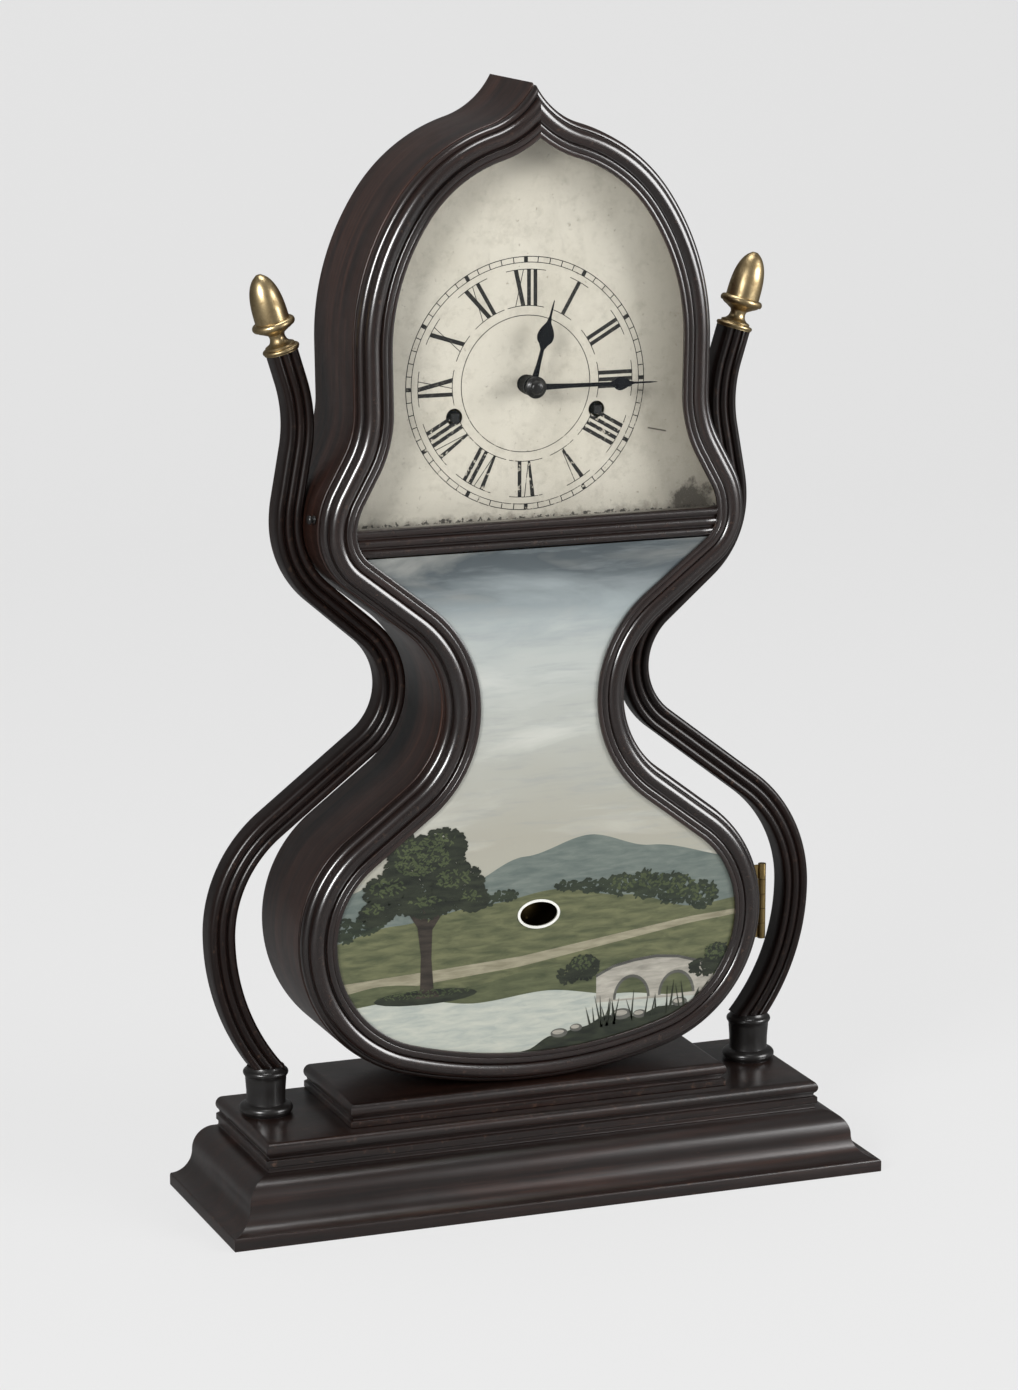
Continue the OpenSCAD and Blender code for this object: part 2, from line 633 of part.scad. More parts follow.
// A turned knob outside the case, a spindle through the band, and a blade inside it.
knob_r = 2.6;
knob_l = 4.6;
blade_len = 8.6;
module door_catch() color(black) {
    translate([-catch_x, catch_y, catch_z])
        rotate([0, -90, 0])
            rotate_extrude()
                polygon(concat([[0, 0.5], [2.2, 0.5], [2.4, 0.9], [1.5, 1.5]],
                    arc([knob_r - 1.4, knob_l - 1.4], 1.4, -60, 90, 6), [[0, knob_l]]));
    rod_x(catch_spindle_r, -catch_x - 0.6, -blade_x + blade_t / 2, catch_y, catch_z);
    rod_x(2.4, -blade_x - blade_t / 2, -blade_x + blade_t / 2, catch_y, catch_z);
    box([-blade_x - blade_t / 2, catch_y - 1.6, catch_z - blade_len],
        [-blade_x + blade_t / 2, catch_y + 1.6, catch_z]);
}

// Dial
dial_inset = band_t + 0.6;
dial_low_z = 366;
dial_back_y = dial_y + dial_t;
centre = [0, dial_z];
time_wind = [wind_x, dial_z - wind_drop];
strike_wind = [-wind_x, dial_z - wind_drop];
posts = [[shoulder_x - 42, shoulder_z + 16.5], [dome_x - 40.3, dome_z + 62.5]];
post_r = 5;
foot_pin_r = 1.5;
foot_pin_l = 6;
module dial_plate() color(cream) {
    for (s = [-1, 1], i = [0, 1])
        rod_y([s * posts[i][0], posts[i][1]], foot_pin_r, dial_y + 0.2, dial_back_y + foot_pin_l);
    difference() {
        intersection() {
            along_y(dial_y, dial_back_y)
                outline_area(dial_inset);
            box([-base_half, -base_d, dial_low_z], [base_half, base_d, case_top]);
        }
        rod_y(centre, hand_hole_r, 0, plate_y);
        rod_y(time_wind, wind_hole_r, 0, plate_y);
        rod_y(strike_wind, wind_hole_r, 0, plate_y);
    }
}
// Turned posts from the back board to the dial, each with a bore for one of the dial's feet.
module dial_posts() color(pine)
    for (s = [-1, 1], i = [0, 1]) {
        p = [s * posts[i][0], posts[i][1]];
        difference() {
            rod_y(p, post_r, dial_back_y, case_back_y - back_t);
            rod_y(p, foot_pin_r, dial_y, dial_back_y + foot_pin_l + 0.5);
        }
    }

// Depths of the hands and of their pipes.
hour_y = dial_y - 11.1;
minute_y = hour_y - 3.4;
hand_t = 0.8;
boss_y = minute_y - 4.2;
cannon_r = 2.2;
pipe_r = 3.3;
// A hand points up as drawn and turns clockwise by its angle. Its eye fits its pipe, and a collet
// may stand out behind it.
module hand(y, len, pear_at, pear_r, angle, eye_r, bore_r, collet_l) color(blued)
    translate([0, 0, dial_z])
        rotate([0, angle, 0])
            difference() {
                union() {
                    along_y(y, y + hand_t)
                        polygon(concat(
                            [[-2.2, 0], [-1.2, pear_at * 0.4], [-1.1, pear_at - 2 * pear_r]],
                            [for (t = [0:0.2:1]) [-pear_r * sin(180 * pow(t, 0.75)) - 0.7, pear_at + pear_r * (3.2 * t - 1.5)]],
                            [[-0.5, len - 5], [0, len], [0.5, len - 5]],
                            [for (t = [1:-0.2:0]) [pear_r * sin(180 * pow(t, 0.75)) + 0.7, pear_at + pear_r * (3.2 * t - 1.5)]],
                            [[1.1, pear_at - 2 * pear_r], [1.2, pear_at * 0.4], [2.2, 0]]));
                    rod_y([0, 0], eye_r, y, y + hand_t + collet_l);
                }
                rod_y([0, 0], bore_r, y - 1, y + hand_t + collet_l + 1);
            }
collet_l = 6.6;
module hour_hand() hand(hour_y, hour_len, hour_len * 0.61, 3.7, hour_angle, pipe_r + 2.1, pipe_r, collet_l);
module minute_hand() hand(minute_y, minute_len, minute_len * 0.71, 2.9, minute_angle, cannon_r + 2.4, cannon_r, 0);
// The turned nut on the end of the centre arbor.
module hand_boss() color(black)
    translate([0, minute_y, dial_z])
        rotate([90, 0, 0])
            difference() {
                rotate_extrude()
                    polygon([[0, 0], [5.6, 0], [6, 0.8], [5.4, 1.8], [3.6, 2.4], [3.2, 3.4], [1.8, 4.2], [0, 4.2]]);
                translate([0, 0, -1])
                    cylinder(r = pivot_r + run_gap, h = 2.6);
            }

// Wheels. A pinion is a lantern of round pins between two discs.
function pitch_r(n, m) = n * m / 2;
function pin_r(m) = 0.2 * PI * m;
tooth_gap = 0.17;
// One tooth's points: two at the root, one at each flank's foot, and its tip.
function tooth(n, m, k, tall) =
    let (r = pitch_r(n, m), w = asin((pin_r(m) + tooth_gap * m) / r), a = 360 * k / n,
         half = 180 / n, low = r - pin_r(m) - 0.3 * m)
    [polar([0, 0], low, a + 0.8 * w), polar([0, 0], r, a + w),
     polar([0, 0], r + tall * m, a + half),
     polar([0, 0], r, a + 2 * half - w), polar([0, 0], low, a + 2 * half - 0.8 * w)];
module toothed(n, m) polygon([for (k = [0:n - 1]) each tooth(n, m, k, 0.75)]);
// A wheel at p with a gap facing the angle face, and openings between its spokes.
module wheel(p, n, m, face, y, bore, spokes = 4) {
    r = pitch_r(n, m);
    rim = r - 3.4 * m - 0.6;
    hub = bore + 2.6;
    translate([p[0], 0, p[1]])
        difference() {
            along_y(y, y + wheel_t)
                rotate(face) toothed(n, m);
            rod_y([0, 0], bore, y - 1, y + 3);
            if (rim - hub > 3)
                for (k = [0:spokes - 1])
                    along_y(y - 1, y + 3)
                        rotate(k * 360 / spokes)
                            polygon(concat(arc([0, 0], hub, 14, 360 / spokes - 14, 4),
                                           arc([0, 0], rim, 360 / spokes - 7, 7, 6)));
        }
}
module lantern(p, n, m, face, y) {
    r = pitch_r(n, m);
    for (s = [-1, 1])
        rod_y(p, r + pin_r(m) + 0.35, y + wheel_t / 2 + s * 1.35 - 0.4, y + wheel_t / 2 + s * 1.35 + 0.4);
    for (k = [0:n - 1])
        rod_y(polar(p, r, face + k * 360 / n), pin_r(m), y + wheel_t / 2 - 1.1, y + wheel_t / 2 + 1.1, $fn = 16);
}
plate_in = plate_y + plate_t;
back_in = plate_in + plate_gap;
back_out = back_in + plate_t;
module arbor(p, r) {
    rod_y(p, r, plate_in + 0.3, back_in - 0.3);
    rod_y(p, pivot_r, plate_y + 0.2, back_out - 0.2);
}

// Time train. Teeth and modules first, then the places that follow from them.
great_n = 72;
great_m = 0.75;
second_pinion_n = 12;
second_n = 60;
second_m = 0.7;
centre_pinion_n = 10;
centre_n = 63;
centre_m = 0.55;
third_pinion_n = 7;
third_n = 63;
third_m = 0.5;
escape_pinion_n = 7;
escape_n = 37;
escape_r = 14.5;
function mesh(n1, n2, m) = pitch_r(n1 + n2, m);
second_p = meet(time_wind, centre, mesh(great_n, second_pinion_n, great_m),
                mesh(second_n, centre_pinion_n, second_m), -1);
escape_p = centre + [0, 34];
third_p = meet(centre, escape_p, mesh(centre_n, third_pinion_n, centre_m),
               mesh(third_n, escape_pinion_n, third_m), 1);
verge_p = escape_p + [0, escape_r + 7];
suspension_p = verge_p + [0, 6.6];
// Depths of the wheels, from the front plate backwards.
great_y = plate_in + 1.5;
second_y = great_y + 2.9;
spring_y = second_y + 2.7;
centre_y = spring_y + 1;
third_y = centre_y + 4;
escape_y = plate_y - 3.4;
module square_end(p) {
    a = 4.4;
    box([p[0] - a / 2, dial_y - 2, p[1] - a / 2], [p[0] + a / 2, plate_y - 2.4, p[1] + a / 2]);
}
wind_r = 3;
ratchet_n = 18;
ratchet_r = 9;
ratchet_y = great_y + wheel_t + 0.3;
// Winding arbor with its square, its ratchet and a hook for the mainspring.
module winding_arbor(p) color(steel) {
    square_end(p);
    rod_y(p, wind_r, plate_y - 2.4, back_in - 0.3);
    rod_y(p, pivot_r + 1, back_in - 0.4, back_out - 0.2);
    translate([p[0], 0, p[1]])
        along_y(ratchet_y, ratchet_y + 1)
            polygon([for (k = [0:ratchet_n - 1]) each
                [polar([0, 0], ratchet_r, k * 360 / ratchet_n), polar([0, 0], ratchet_r - 1.6, (k + 0.25) * 360 / ratchet_n)]]);
}
// Great wheel with its click, which rides just outside the ratchet.
module great_wheel(p, face) color(brass) {
    wheel(p, great_n, great_m, face, great_y, wind_r + run_gap, 5);
    rod_y(polar(p, ratchet_r + 3, 72), 1.8, great_y + wheel_t - 0.1, ratchet_y + 1);
    translate([p[0], 0, p[1]])
        along_y(ratchet_y, ratchet_y + 1)
            polygon([polar([0, 0], ratchet_r + 1.8, 72), polar([0, 0], ratchet_r + 0.4, 44),
                     polar([0, 0], ratchet_r + 3.4, 60)]);
}
spring_turns = 6;
spring_leaf = 0.7;
spring_in_r = wind_r + 0.3;
spring_steps = spring_turns * 18;
function spring_at(i, d) =
    polar([0, 0], spring_in_r + d + (spring_r - spring_in_r) * i / spring_steps, 20 * i);
// A flat spiral from the arbor out to its pillar.
module mainspring(p) color(steel)
    translate([p[0], 0, p[1]])
        along_y(spring_y, spring_y + spring_w)
            polygon(concat([for (i = [0:spring_steps]) spring_at(i, 0)],
                           [for (i = [spring_steps:-1:0]) spring_at(i, spring_leaf)]));
module time_winding_arbor() winding_arbor(time_wind);
module time_great_wheel() great_wheel(time_wind, heading(time_wind, second_p));
module time_mainspring() mainspring(time_wind);
module second_wheel() color(brass) {
    arbor(second_p, arbor_r);
    lantern(second_p, second_pinion_n, great_m, heading(second_p, time_wind), great_y);
    wheel(second_p, second_n, second_m, heading(second_p, centre), second_y, arbor_r);
}
cannon_n = 12;
motion_n = 36;
motion_m = 0.5;
hour_pinion_n = 9;
hour_n = 36;
motion_gap = mesh(cannon_n, motion_n, motion_m);
hour_m = 2 * motion_gap / (hour_pinion_n + hour_n);
motion_p = polar(centre, motion_gap, -60);
cannon_y = plate_y - 2.5;
hour_wheel_y = cannon_y - 2.6;
module centre_wheel() color(brass) {
    arbor(centre, arbor_r);
    lantern(centre, centre_pinion_n, second_m, heading(centre, second_p), second_y);
    wheel(centre, centre_n, centre_m, heading(centre, third_p), centre_y, arbor_r);
    rod_y(centre, pivot_r, minute_y - 1.4, plate_y + 0.4);
}
// The cannon pinion drives the hands. It turns with the centre arbor by friction only.
module cannon_pinion() color(brass)
    difference() {
        union() {
            lantern(centre, cannon_n, motion_m, heading(centre, motion_p), cannon_y);
            rod_y(centre, cannon_r - run_gap, minute_y + hand_t, cannon_y + 2);
            rod_y(centre, cannon_r, minute_y, minute_y + hand_t);
        }
        rod_y(centre, pivot_r + run_gap, minute_y - 1, plate_y);
    }
module motion_wheel() color(brass) {
    difference() {
        union() {
            wheel(motion_p, motion_n, motion_m, heading(motion_p, centre), cannon_y, 1.2 + run_gap);
            lantern(motion_p, hour_pinion_n, hour_m, heading(motion_p, centre), hour_wheel_y);
            rod_y(motion_p, 1.9, hour_wheel_y, cannon_y + wheel_t);
        }
        rod_y(motion_p, 1.2 + run_gap, 0, plate_y);
    }
}
module hour_wheel() color(brass)
    difference() {
        union() {
            wheel(centre, hour_n, hour_m, heading(centre, motion_p), hour_wheel_y, cannon_r + 0.05);
            rod_y(centre, pipe_r - run_gap, hour_y + hand_t, hour_wheel_y + wheel_t);
            rod_y(centre, pipe_r, hour_y, hour_y + hand_t);
        }
        rod_y(centre, cannon_r, minute_y, plate_y);
    }
module third_wheel() color(brass) {
    arbor(third_p, arbor_r * 0.8);
    lantern(third_p, third_pinion_n, centre_m, heading(third_p, centre), centre_y);
    wheel(third_p, third_n, third_m, heading(third_p, escape_p), third_y, arbor_r * 0.8);
}
// The escape wheel runs outside the front plate, on an arbor that passes through it.
module escape_wheel() color(brass) {
    rod_y(escape_p, arbor_r * 0.8, plate_in + 0.3, back_in - 0.3);
    rod_y(escape_p, pivot_r, escape_y, back_out - 0.2);
    lantern(escape_p, escape_pinion_n, third_m, heading(escape_p, third_p), third_y);
    translate([escape_p[0], 0, escape_p[1]])
        difference() {
            along_y(escape_y, escape_y + 1)
                polygon([for (k = [0:escape_n - 1]) each
                    [polar([0, 0], escape_r, k * 360 / escape_n),
                     polar([0, 0], escape_r - 2.4, (k + 0.2) * 360 / escape_n),
                     polar([0, 0], escape_r - 2.4, (k + 0.75) * 360 / escape_n)]]);
            for (k = [0:3])
                along_y(escape_y - 1, escape_y + 2)
                    rotate(k * 90)
                        polygon(concat(arc([0, 0], 3, 20, 70, 3), arc([0, 0], escape_r - 4, 82, 8, 5)));
        }
}
// Recoil verge: a bent strip over the wheel, its hub on a stud, and the crutch that hangs in front.
crutch_y = escape_y - 2;
fork_z = escape_p[1] - 14;
fork_half = rod_r + 0.45 + 0.6;
module verge() color(steel) {
    difference() {
        rod_y(verge_p, 2, crutch_y - 0.4, escape_y + 1.4);
        rod_y(verge_p, 0.9 + run_gap, 0, plate_y);
    }
    translate([verge_p[0], 0, verge_p[1]])
        difference() {
            along_y(escape_y - 0.1, escape_y + 1.1)
                polygon([[-1.5, 1.6], [-8.2, -1], [-10.6, -7.8], [-9.6, -8.8], [-7.4, -2.6], [-1.5, -1],
                         [1.5, -1], [7.4, -2.6], [9.6, -8.8], [10.6, -7.8], [8.2, -1], [1.5, 1.6]]);
            rod_y([0, 0], 1.5, 0, plate_y);
        }
    top = [0, crutch_y, verge_p[1] - 1.9];
    low = [0, crutch_y, fork_z + 3];
    wire(0.6, top, low);
    for (s = [-1, 1]) {
        wire(0.6, low, [s * fork_half, crutch_y, fork_z]);
        wire(0.6, [s * fork_half, crutch_y, fork_z], [s * fork_half, pendulum_y - 0.7, fork_z]);
    }
}
module suspension_post() color(brass) {
    rod_y(suspension_p, 2.2, pendulum_y + 1.2, plate_y);
    rod_y(suspension_p, 0.7, pendulum_y - 1.2, pendulum_y + 1.3);
    rod_y(suspension_p, 1.6, pendulum_y - 1.4, pendulum_y - 1);
    rod_y(verge_p, 0.9, crutch_y - 0.9, plate_y);
    rod_y(motion_p, 1.2, hour_wheel_y - 1.4, plate_y);
    rod_y(count_p, stud_r, escape_y - 1, plate_y);
}
// Pendulum: a ring on the post, a wire with an eye round the hour pipe, bob and nut.
eye_half = 9.5;
eye_up = 11;
module pendulum_rod() color(steel) {
    difference() {
        rod_y(suspension_p, 2, pendulum_y - rod_r, pendulum_y + rod_r);
        rod_y(suspension_p, 0.7 + run_gap, 0, plate_y);
    }
    y = pendulum_y;
    top = [0, y, suspension_p[1] - 1.8];
    a = [0, y, dial_z + eye_up];
    b = [0, y, dial_z - eye_up];
    wire(rod_r, top, a);
    for (s = [-1, 1]) {
        wire(rod_r, a, [s * eye_half, y, dial_z + 3]);
        wire(rod_r, [s * eye_half, y, dial_z + 3], [s * eye_half, y, dial_z - 3]);
        wire(rod_r, [s * eye_half, y, dial_z - 3], b);
    }
    wire(rod_r, b, [0, y, suspension_p[1] - pendulum_len + bob_r + 0.5]);
    wire(rod_r, [0, y, suspension_p[1] - pendulum_len + bob_r],
         [0, y, suspension_p[1] - pendulum_len - bob_r - 8]);
}
bob_z = suspension_p[1] - pendulum_len;
bob_edge = 0.6;
// Depth of the bob's face at a distance from its middle, as a share of its radius.
function bob_face(k) = (bob_t / 2 - bob_edge) * k * k;
module pendulum_bob() color(brass)
    difference() {
        translate([0, pendulum_y + bob_t / 2, bob_z])
            rotate([90, 0, 0])
                rotate_extrude()
                    polygon(concat([for (k = [0:0.2:1]) [k * bob_r, bob_face(k)]],
                                   [for (k = [1:-0.2:0]) [k * bob_r, bob_t - bob_face(k)]]));
        rod_z(rod_r + run_gap, bob_z - bob_r - 9, bob_z + bob_r + 9, 0, pendulum_y);
    }
module rating_nut() color(brass)
    difference() {
        rod_z(3, bob_z - bob_r - 3.4, bob_z - bob_r - 0.4, 0, pendulum_y, $fn = 24);
        rod_z(rod_r + run_gap, bob_z - bob_r - 9, bob_z + bob_r + 9, 0, pendulum_y);
    }

// Strike train
pin_m = 0.7;
pin_n = 60;
lock_pinion_n = 8;
lock_n = 56;
lock_m = 0.55;
warn_pinion_n = 7;
warn_n = 48;
warn_m = 0.5;
fly_pinion_n = 7;
count_n = 78;
count_m = 0.5;
count_pinion_n = 6;
pin_p = polar(strike_wind, mesh(great_n, second_pinion_n, great_m), 99);
lock_p = polar(pin_p, mesh(pin_n, lock_pinion_n, pin_m), 65);
warn_p = polar(lock_p, mesh(lock_n, warn_pinion_n, lock_m), 46);
fly_p = polar(warn_p, mesh(warn_n, fly_pinion_n, warn_m), 40);
count_p = polar(pin_p, mesh(count_n, count_pinion_n, count_m), 107);
hammer_pins = 6;
hammer_pin_r = 19;
hammer_p = strike_wind + [-20, -24];
lever_p = [-66, dial_z + 60];
fly_y = third_y + 4;
module strike_winding_arbor() winding_arbor(strike_wind);
module strike_great_wheel() great_wheel(strike_wind, heading(strike_wind, pin_p));
module strike_mainspring() mainspring(strike_wind);
module pin_wheel() color(brass) {
    rod_y(pin_p, arbor_r, plate_in + 0.3, back_in - 0.3);
    rod_y(pin_p, pivot_r, escape_y - 0.6, back_out - 0.2);
    lantern(pin_p, second_pinion_n, great_m, heading(pin_p, strike_wind), great_y);
    wheel(pin_p, pin_n, pin_m, heading(pin_p, lock_p), second_y, arbor_r);
    for (k = [0:hammer_pins - 1])
        rod_y(polar(pin_p, hammer_pin_r, 150 + k * 60), 0.7, second_y + wheel_t - 0.1, second_y + wheel_t + 1.2, $fn = 16);
    lantern(pin_p, count_pinion_n, count_m, heading(pin_p, count_p), escape_y);
}
module locking_wheel() color(brass) {
    arbor(lock_p, arbor_r * 0.8);
    lantern(lock_p, lock_pinion_n, pin_m, heading(lock_p, pin_p), second_y);
    wheel(lock_p, lock_n, lock_m, heading(lock_p, warn_p), centre_y, arbor_r * 0.8);
    rod_y(polar(lock_p, pitch_r(lock_n, lock_m) - 1.5, 200), 0.6, centre_y + wheel_t - 0.1, centre_y + wheel_t + 2, $fn = 16);
}
module warning_wheel() color(brass) {
    arbor(warn_p, arbor_r * 0.8);
    lantern(warn_p, warn_pinion_n, lock_m, heading(warn_p, lock_p), centre_y);
    wheel(warn_p, warn_n, warn_m, heading(warn_p, fly_p), third_y, arbor_r * 0.8);
}
module strike_fly() color(brass) {
    arbor(fly_p, arbor_r * 0.8);
    lantern(fly_p, fly_pinion_n, warn_m, heading(fly_p, warn_p), third_y);
    box([fly_p[0] - 9.5, fly_y, fly_p[1] - 0.3], [fly_p[0] + 9.5, fly_y + 7, fly_p[1] + 0.3]);
}
strikes = [1, 2, 3, 4, 5, 6, 7, 8, 9, 10, 11, 12];
// Count wheel with a slot after each hour's strokes.
function strokes_before(h) = h == 0 ? 0 : strikes[h - 1] + strokes_before(h - 1);
stud_r = 1.1;
module count_wheel() color(brass)
    difference() {
        wheel(count_p, count_n, count_m, heading(count_p, pin_p), escape_y, stud_r + run_gap);
        translate([count_p[0], 0, count_p[1]])
            for (h = [0:11])
                along_y(escape_y - 1, escape_y + 0.5)
                    rotate(strokes_before(h) * 360 / count_n)
                        translate([pitch_r(count_n, count_m) - 3.4, -0.5]) square([3, 1]);
    }
// Locking lever: an arbor between the plates with an arm over the count wheel.
lever_r = 1.2;
lever_reach = [count_p[0] - lever_p[0], count_p[1] + pitch_r(count_n, count_m) + 1.6 - lever_p[1]];
module strike_lever() color(steel) {
    rod_y(lever_p, lever_r, plate_in + 0.3, back_in - 0.3);
    rod_y(lever_p, pivot_r, crutch_y, back_out - 0.2);
    rod_y(lever_p, 1.8, crutch_y - 0.4, crutch_y + 0.8);
    tip = [lever_p[0] + lever_reach[0], crutch_y + 0.2, lever_p[1] + lever_reach[1]];
    wire(0.6, [lever_p[0], crutch_y + 0.2, lever_p[1]], tip);
    wire(0.6, tip, tip + [0, 1.4, 0]);
}
// Hammer: arbor, tail that the pins lift, wire down past the plates, and the head.
hammer_low = dial_z - plate_down - 8;
gong_y = case_back_y - back_t - 9;
head_p = [-gong_r - 7.4, gong_y, gong_z + 8];
module strike_hammer() color(steel) {
    rod_y(hammer_p, lever_r, plate_in + 0.3, back_in - 0.3);
    rod_y(hammer_p, pivot_r, plate_y + 0.2, back_out - 0.2);
    y = second_y + wheel_t + 1;
    tail = [pin_p[0] - hammer_pin_r - 5.8, y, pin_p[1] - 6];
    wire(0.7, [hammer_p[0], y, hammer_p[1]], tail);
    drop = [hammer_p[0] + 4, y + 4, hammer_low];
    wire(0.9, [hammer_p[0], y + 4, hammer_p[1]], drop);
    back = [hammer_p[0] + 6, gong_y, hammer_low - 6];
    wire(0.9, drop, back);
    wire(0.9, back, head_p);
    translate(head_p)
        rotate([0, 90, 0])
            difference() {
                translate([0, 0, -3.5]) cylinder(r = 4, h = 8.5);
                translate([0, 0, 4]) cylinder(r = 2.6, h = 2);
            }
}
// Gong: a coil of wire in one plane, its inner end in a cast base on the back board.
gong_wire = 1.3;
gong_turns = 3.25;
gong_pitch = 4.6;
gong_step = 15;
gong_rings = gong_turns * 360 / gong_step;
gong_sides = 8;
function gong_at(i) = polar([0, gong_z], gong_r - gong_pitch * i * gong_step / 360, -i * gong_step);
// A flat spiral of wire, as rings of points round its middle line.
module wire_gong() color(steel) {
    points = [for (i = [0:gong_rings], j = [0:gong_sides - 1])
        let (p = gong_at(i), t = j * 360 / gong_sides,
             q = polar(p, gong_wire * cos(t), -i * gong_step))
        [q[0], gong_y + gong_wire * sin(t), q[1]]];
    sides = [for (i = [0:gong_rings - 1], j = [0:gong_sides - 1])
        let (a = i * gong_sides + j, b = i * gong_sides + (j + 1) % gong_sides)
        each [[a, b, b + gong_sides], [a, b + gong_sides, a + gong_sides]]];
    last = gong_rings * gong_sides;
    ends = [[for (j = [gong_sides - 1:-1:0]) j], [for (j = [0:gong_sides - 1]) last + j]];
    polyhedron(points, concat(sides, ends), convexity = 6);
    echo("least gap between the gong's turns", gong_pitch - 2 * gong_wire);
}
// A cast post that holds the inner end of the coil.
module gong_base() color(black) {
    end = gong_at(gong_rings);
    rod_y(end, 6, gong_y + gong_wire + 0.1, case_back_y - back_t);
}

// Movement plates, pillars and the blocks that carry them.
pillar_in = 6;
pillars = [[-plate_half + pillar_in, plate_up - pillar_in], [plate_half - pillar_in, plate_up - pillar_in],
           [-plate_half + pillar_in, -plate_down + pillar_in - 1], [plate_half - pillar_in, -plate_down + pillar_in]];
pivots = [second_p, centre, third_p, escape_p, pin_p, lock_p, warn_p, fly_p, lever_p, hammer_p];
module plate_shape()
    polygon([[-plate_half, dial_z - plate_down], [plate_half, dial_z - plate_down],
             [plate_half, dial_z + plate_up], [-plate_half, dial_z + plate_up]]);
module window(x0, z0, x1, z1, y)
    box([x0, y - 1, dial_z + z0], [x1, y + 4, dial_z + z1]);
module front_plate() color(brass)
    difference() {
        along_y(plate_y, plate_in)
            plate_shape();
        for (p = pivots)
            rod_y(p, pivot_r + run_gap, 0, back_out);
        for (p = [time_wind, strike_wind])
            rod_y(p, wind_r + run_gap, 0, back_out);
        window(14, -44, 34, -22, plate_y);
        window(-26, -44, -8, -22, plate_y);
        window(30, 34, 60, 62, plate_y);
    }
module back_plate() color(brass)
    difference() {
        along_y(back_in, back_out)
            plate_shape();
        for (p = pivots)
            rod_y(p, pivot_r + run_gap, 0, back_out + 1);
        for (p = [time_wind, strike_wind])
            rod_y(p, pivot_r + 1 + run_gap, 0, back_out + 1);
        window(-20, -44, 20, -22, back_in);
        window(30, 34, 60, 62, back_in);
    }
module plate_pillars() color(brass)
    for (p = pillars)
        rod_y([p[0], dial_z + p[1]], 3, plate_in, back_in);
module movement_blocks() color(pine)
    for (p = pillars)
        box([p[0] - 5, back_out, dial_z + p[1] - 5], [p[0] + 5, case_back_y - back_t, dial_z + p[1] + 5]);

base_front_moulding();
base_left_moulding();
base_right_moulding();
base_back_rail();
base_platform();
case_plinth();
base_screws();
case_band_left();
case_band_right();
back_board();
left_arm();
right_arm();
left_arm_collar();
right_arm_collar();
left_finial();
right_finial();
door_frame_left();
door_frame_right();
door_cross_rail();
dial_glass();
tablet_glass();
door_hinge_leaf();
case_hinge_leaf();
door_catch();
dial_plate();
dial_posts();
hour_hand();
minute_hand();
hand_boss();
cannon_pinion();
front_plate();
back_plate();
plate_pillars();
movement_blocks();
time_winding_arbor();
time_great_wheel();
time_mainspring();
second_wheel();
centre_wheel();
third_wheel();
escape_wheel();
verge();
suspension_post();
pendulum_rod();
pendulum_bob();
rating_nut();
motion_wheel();
hour_wheel();
strike_winding_arbor();
strike_great_wheel();
strike_mainspring();
pin_wheel();
locking_wheel();
warning_wheel();
strike_fly();
count_wheel();
strike_lever();
strike_hammer();
wire_gong();
gong_base();
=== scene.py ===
"""Dresses the acorn-shaped shelf clock: bent case and arms, glazed door, painted dial and tablet.

Sizes are in millimetres until a mesh is made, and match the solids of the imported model.
"""
import json
import logging
import math
import random
from collections.abc import Iterable, Iterator
from dataclasses import dataclass
from enum import Enum

import bmesh
import bpy
from mathutils import Matrix, Vector
from mathutils.geometry import tessellate_polygon


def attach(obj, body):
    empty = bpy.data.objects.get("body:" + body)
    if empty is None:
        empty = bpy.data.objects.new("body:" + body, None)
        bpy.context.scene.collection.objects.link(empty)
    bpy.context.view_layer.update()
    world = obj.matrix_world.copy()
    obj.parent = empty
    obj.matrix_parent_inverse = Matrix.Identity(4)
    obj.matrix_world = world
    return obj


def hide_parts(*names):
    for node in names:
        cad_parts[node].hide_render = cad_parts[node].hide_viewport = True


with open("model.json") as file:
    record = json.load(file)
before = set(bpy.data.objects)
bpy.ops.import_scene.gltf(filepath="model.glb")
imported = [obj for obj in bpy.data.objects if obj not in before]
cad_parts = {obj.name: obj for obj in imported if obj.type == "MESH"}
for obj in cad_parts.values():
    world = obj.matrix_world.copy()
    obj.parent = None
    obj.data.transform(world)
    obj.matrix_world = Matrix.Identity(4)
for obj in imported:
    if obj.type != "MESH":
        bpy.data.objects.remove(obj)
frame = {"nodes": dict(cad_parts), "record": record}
LOG = logging.getLogger("clock")
MM = 0.001
Point = tuple[float, float]
Triple = tuple[float, float, float]
Rings = list[list[Vector]]
Circle = tuple[Point, float, int]
Oval = tuple[float, float, float, float]
QUARTER = math.pi / 2
FACING = Matrix.Rotation(QUARTER, 4, "X")
Piece = bpy.types.Object
Material = bpy.types.Material
Socket = bpy.types.NodeSocket


def polar(centre: Point, radius: float, angle: float) -> Point:
    """Returns the point at a distance and an angle in degrees from a centre."""
    turn = math.radians(angle)
    return (centre[0] + radius * math.cos(turn), centre[1] + radius * math.sin(turn))


def arc(centre: Point, radius: float, start: float, end: float, steps: int) -> list[Point]:
    """Returns steps + 1 points along a circular arc, angles in degrees."""
    return [polar(centre, radius, start + (end - start) * i / steps) for i in range(steps + 1)]


def circle(centre: Point, radius: float, count: int = 36) -> list[Point]:
    """Returns so many points round a full circle."""
    return arc(centre, radius, 0, 360 - 360 / count, count - 1)


def ellipse(centre: Point, a: float, b: float, angles: range) -> list[Point]:
    """Returns points on an ellipse of half width a and half height b, at angles in degrees."""
    return [(centre[0] + a * math.cos(math.radians(t)), centre[1] + b * math.sin(math.radians(t)))
            for t in angles]


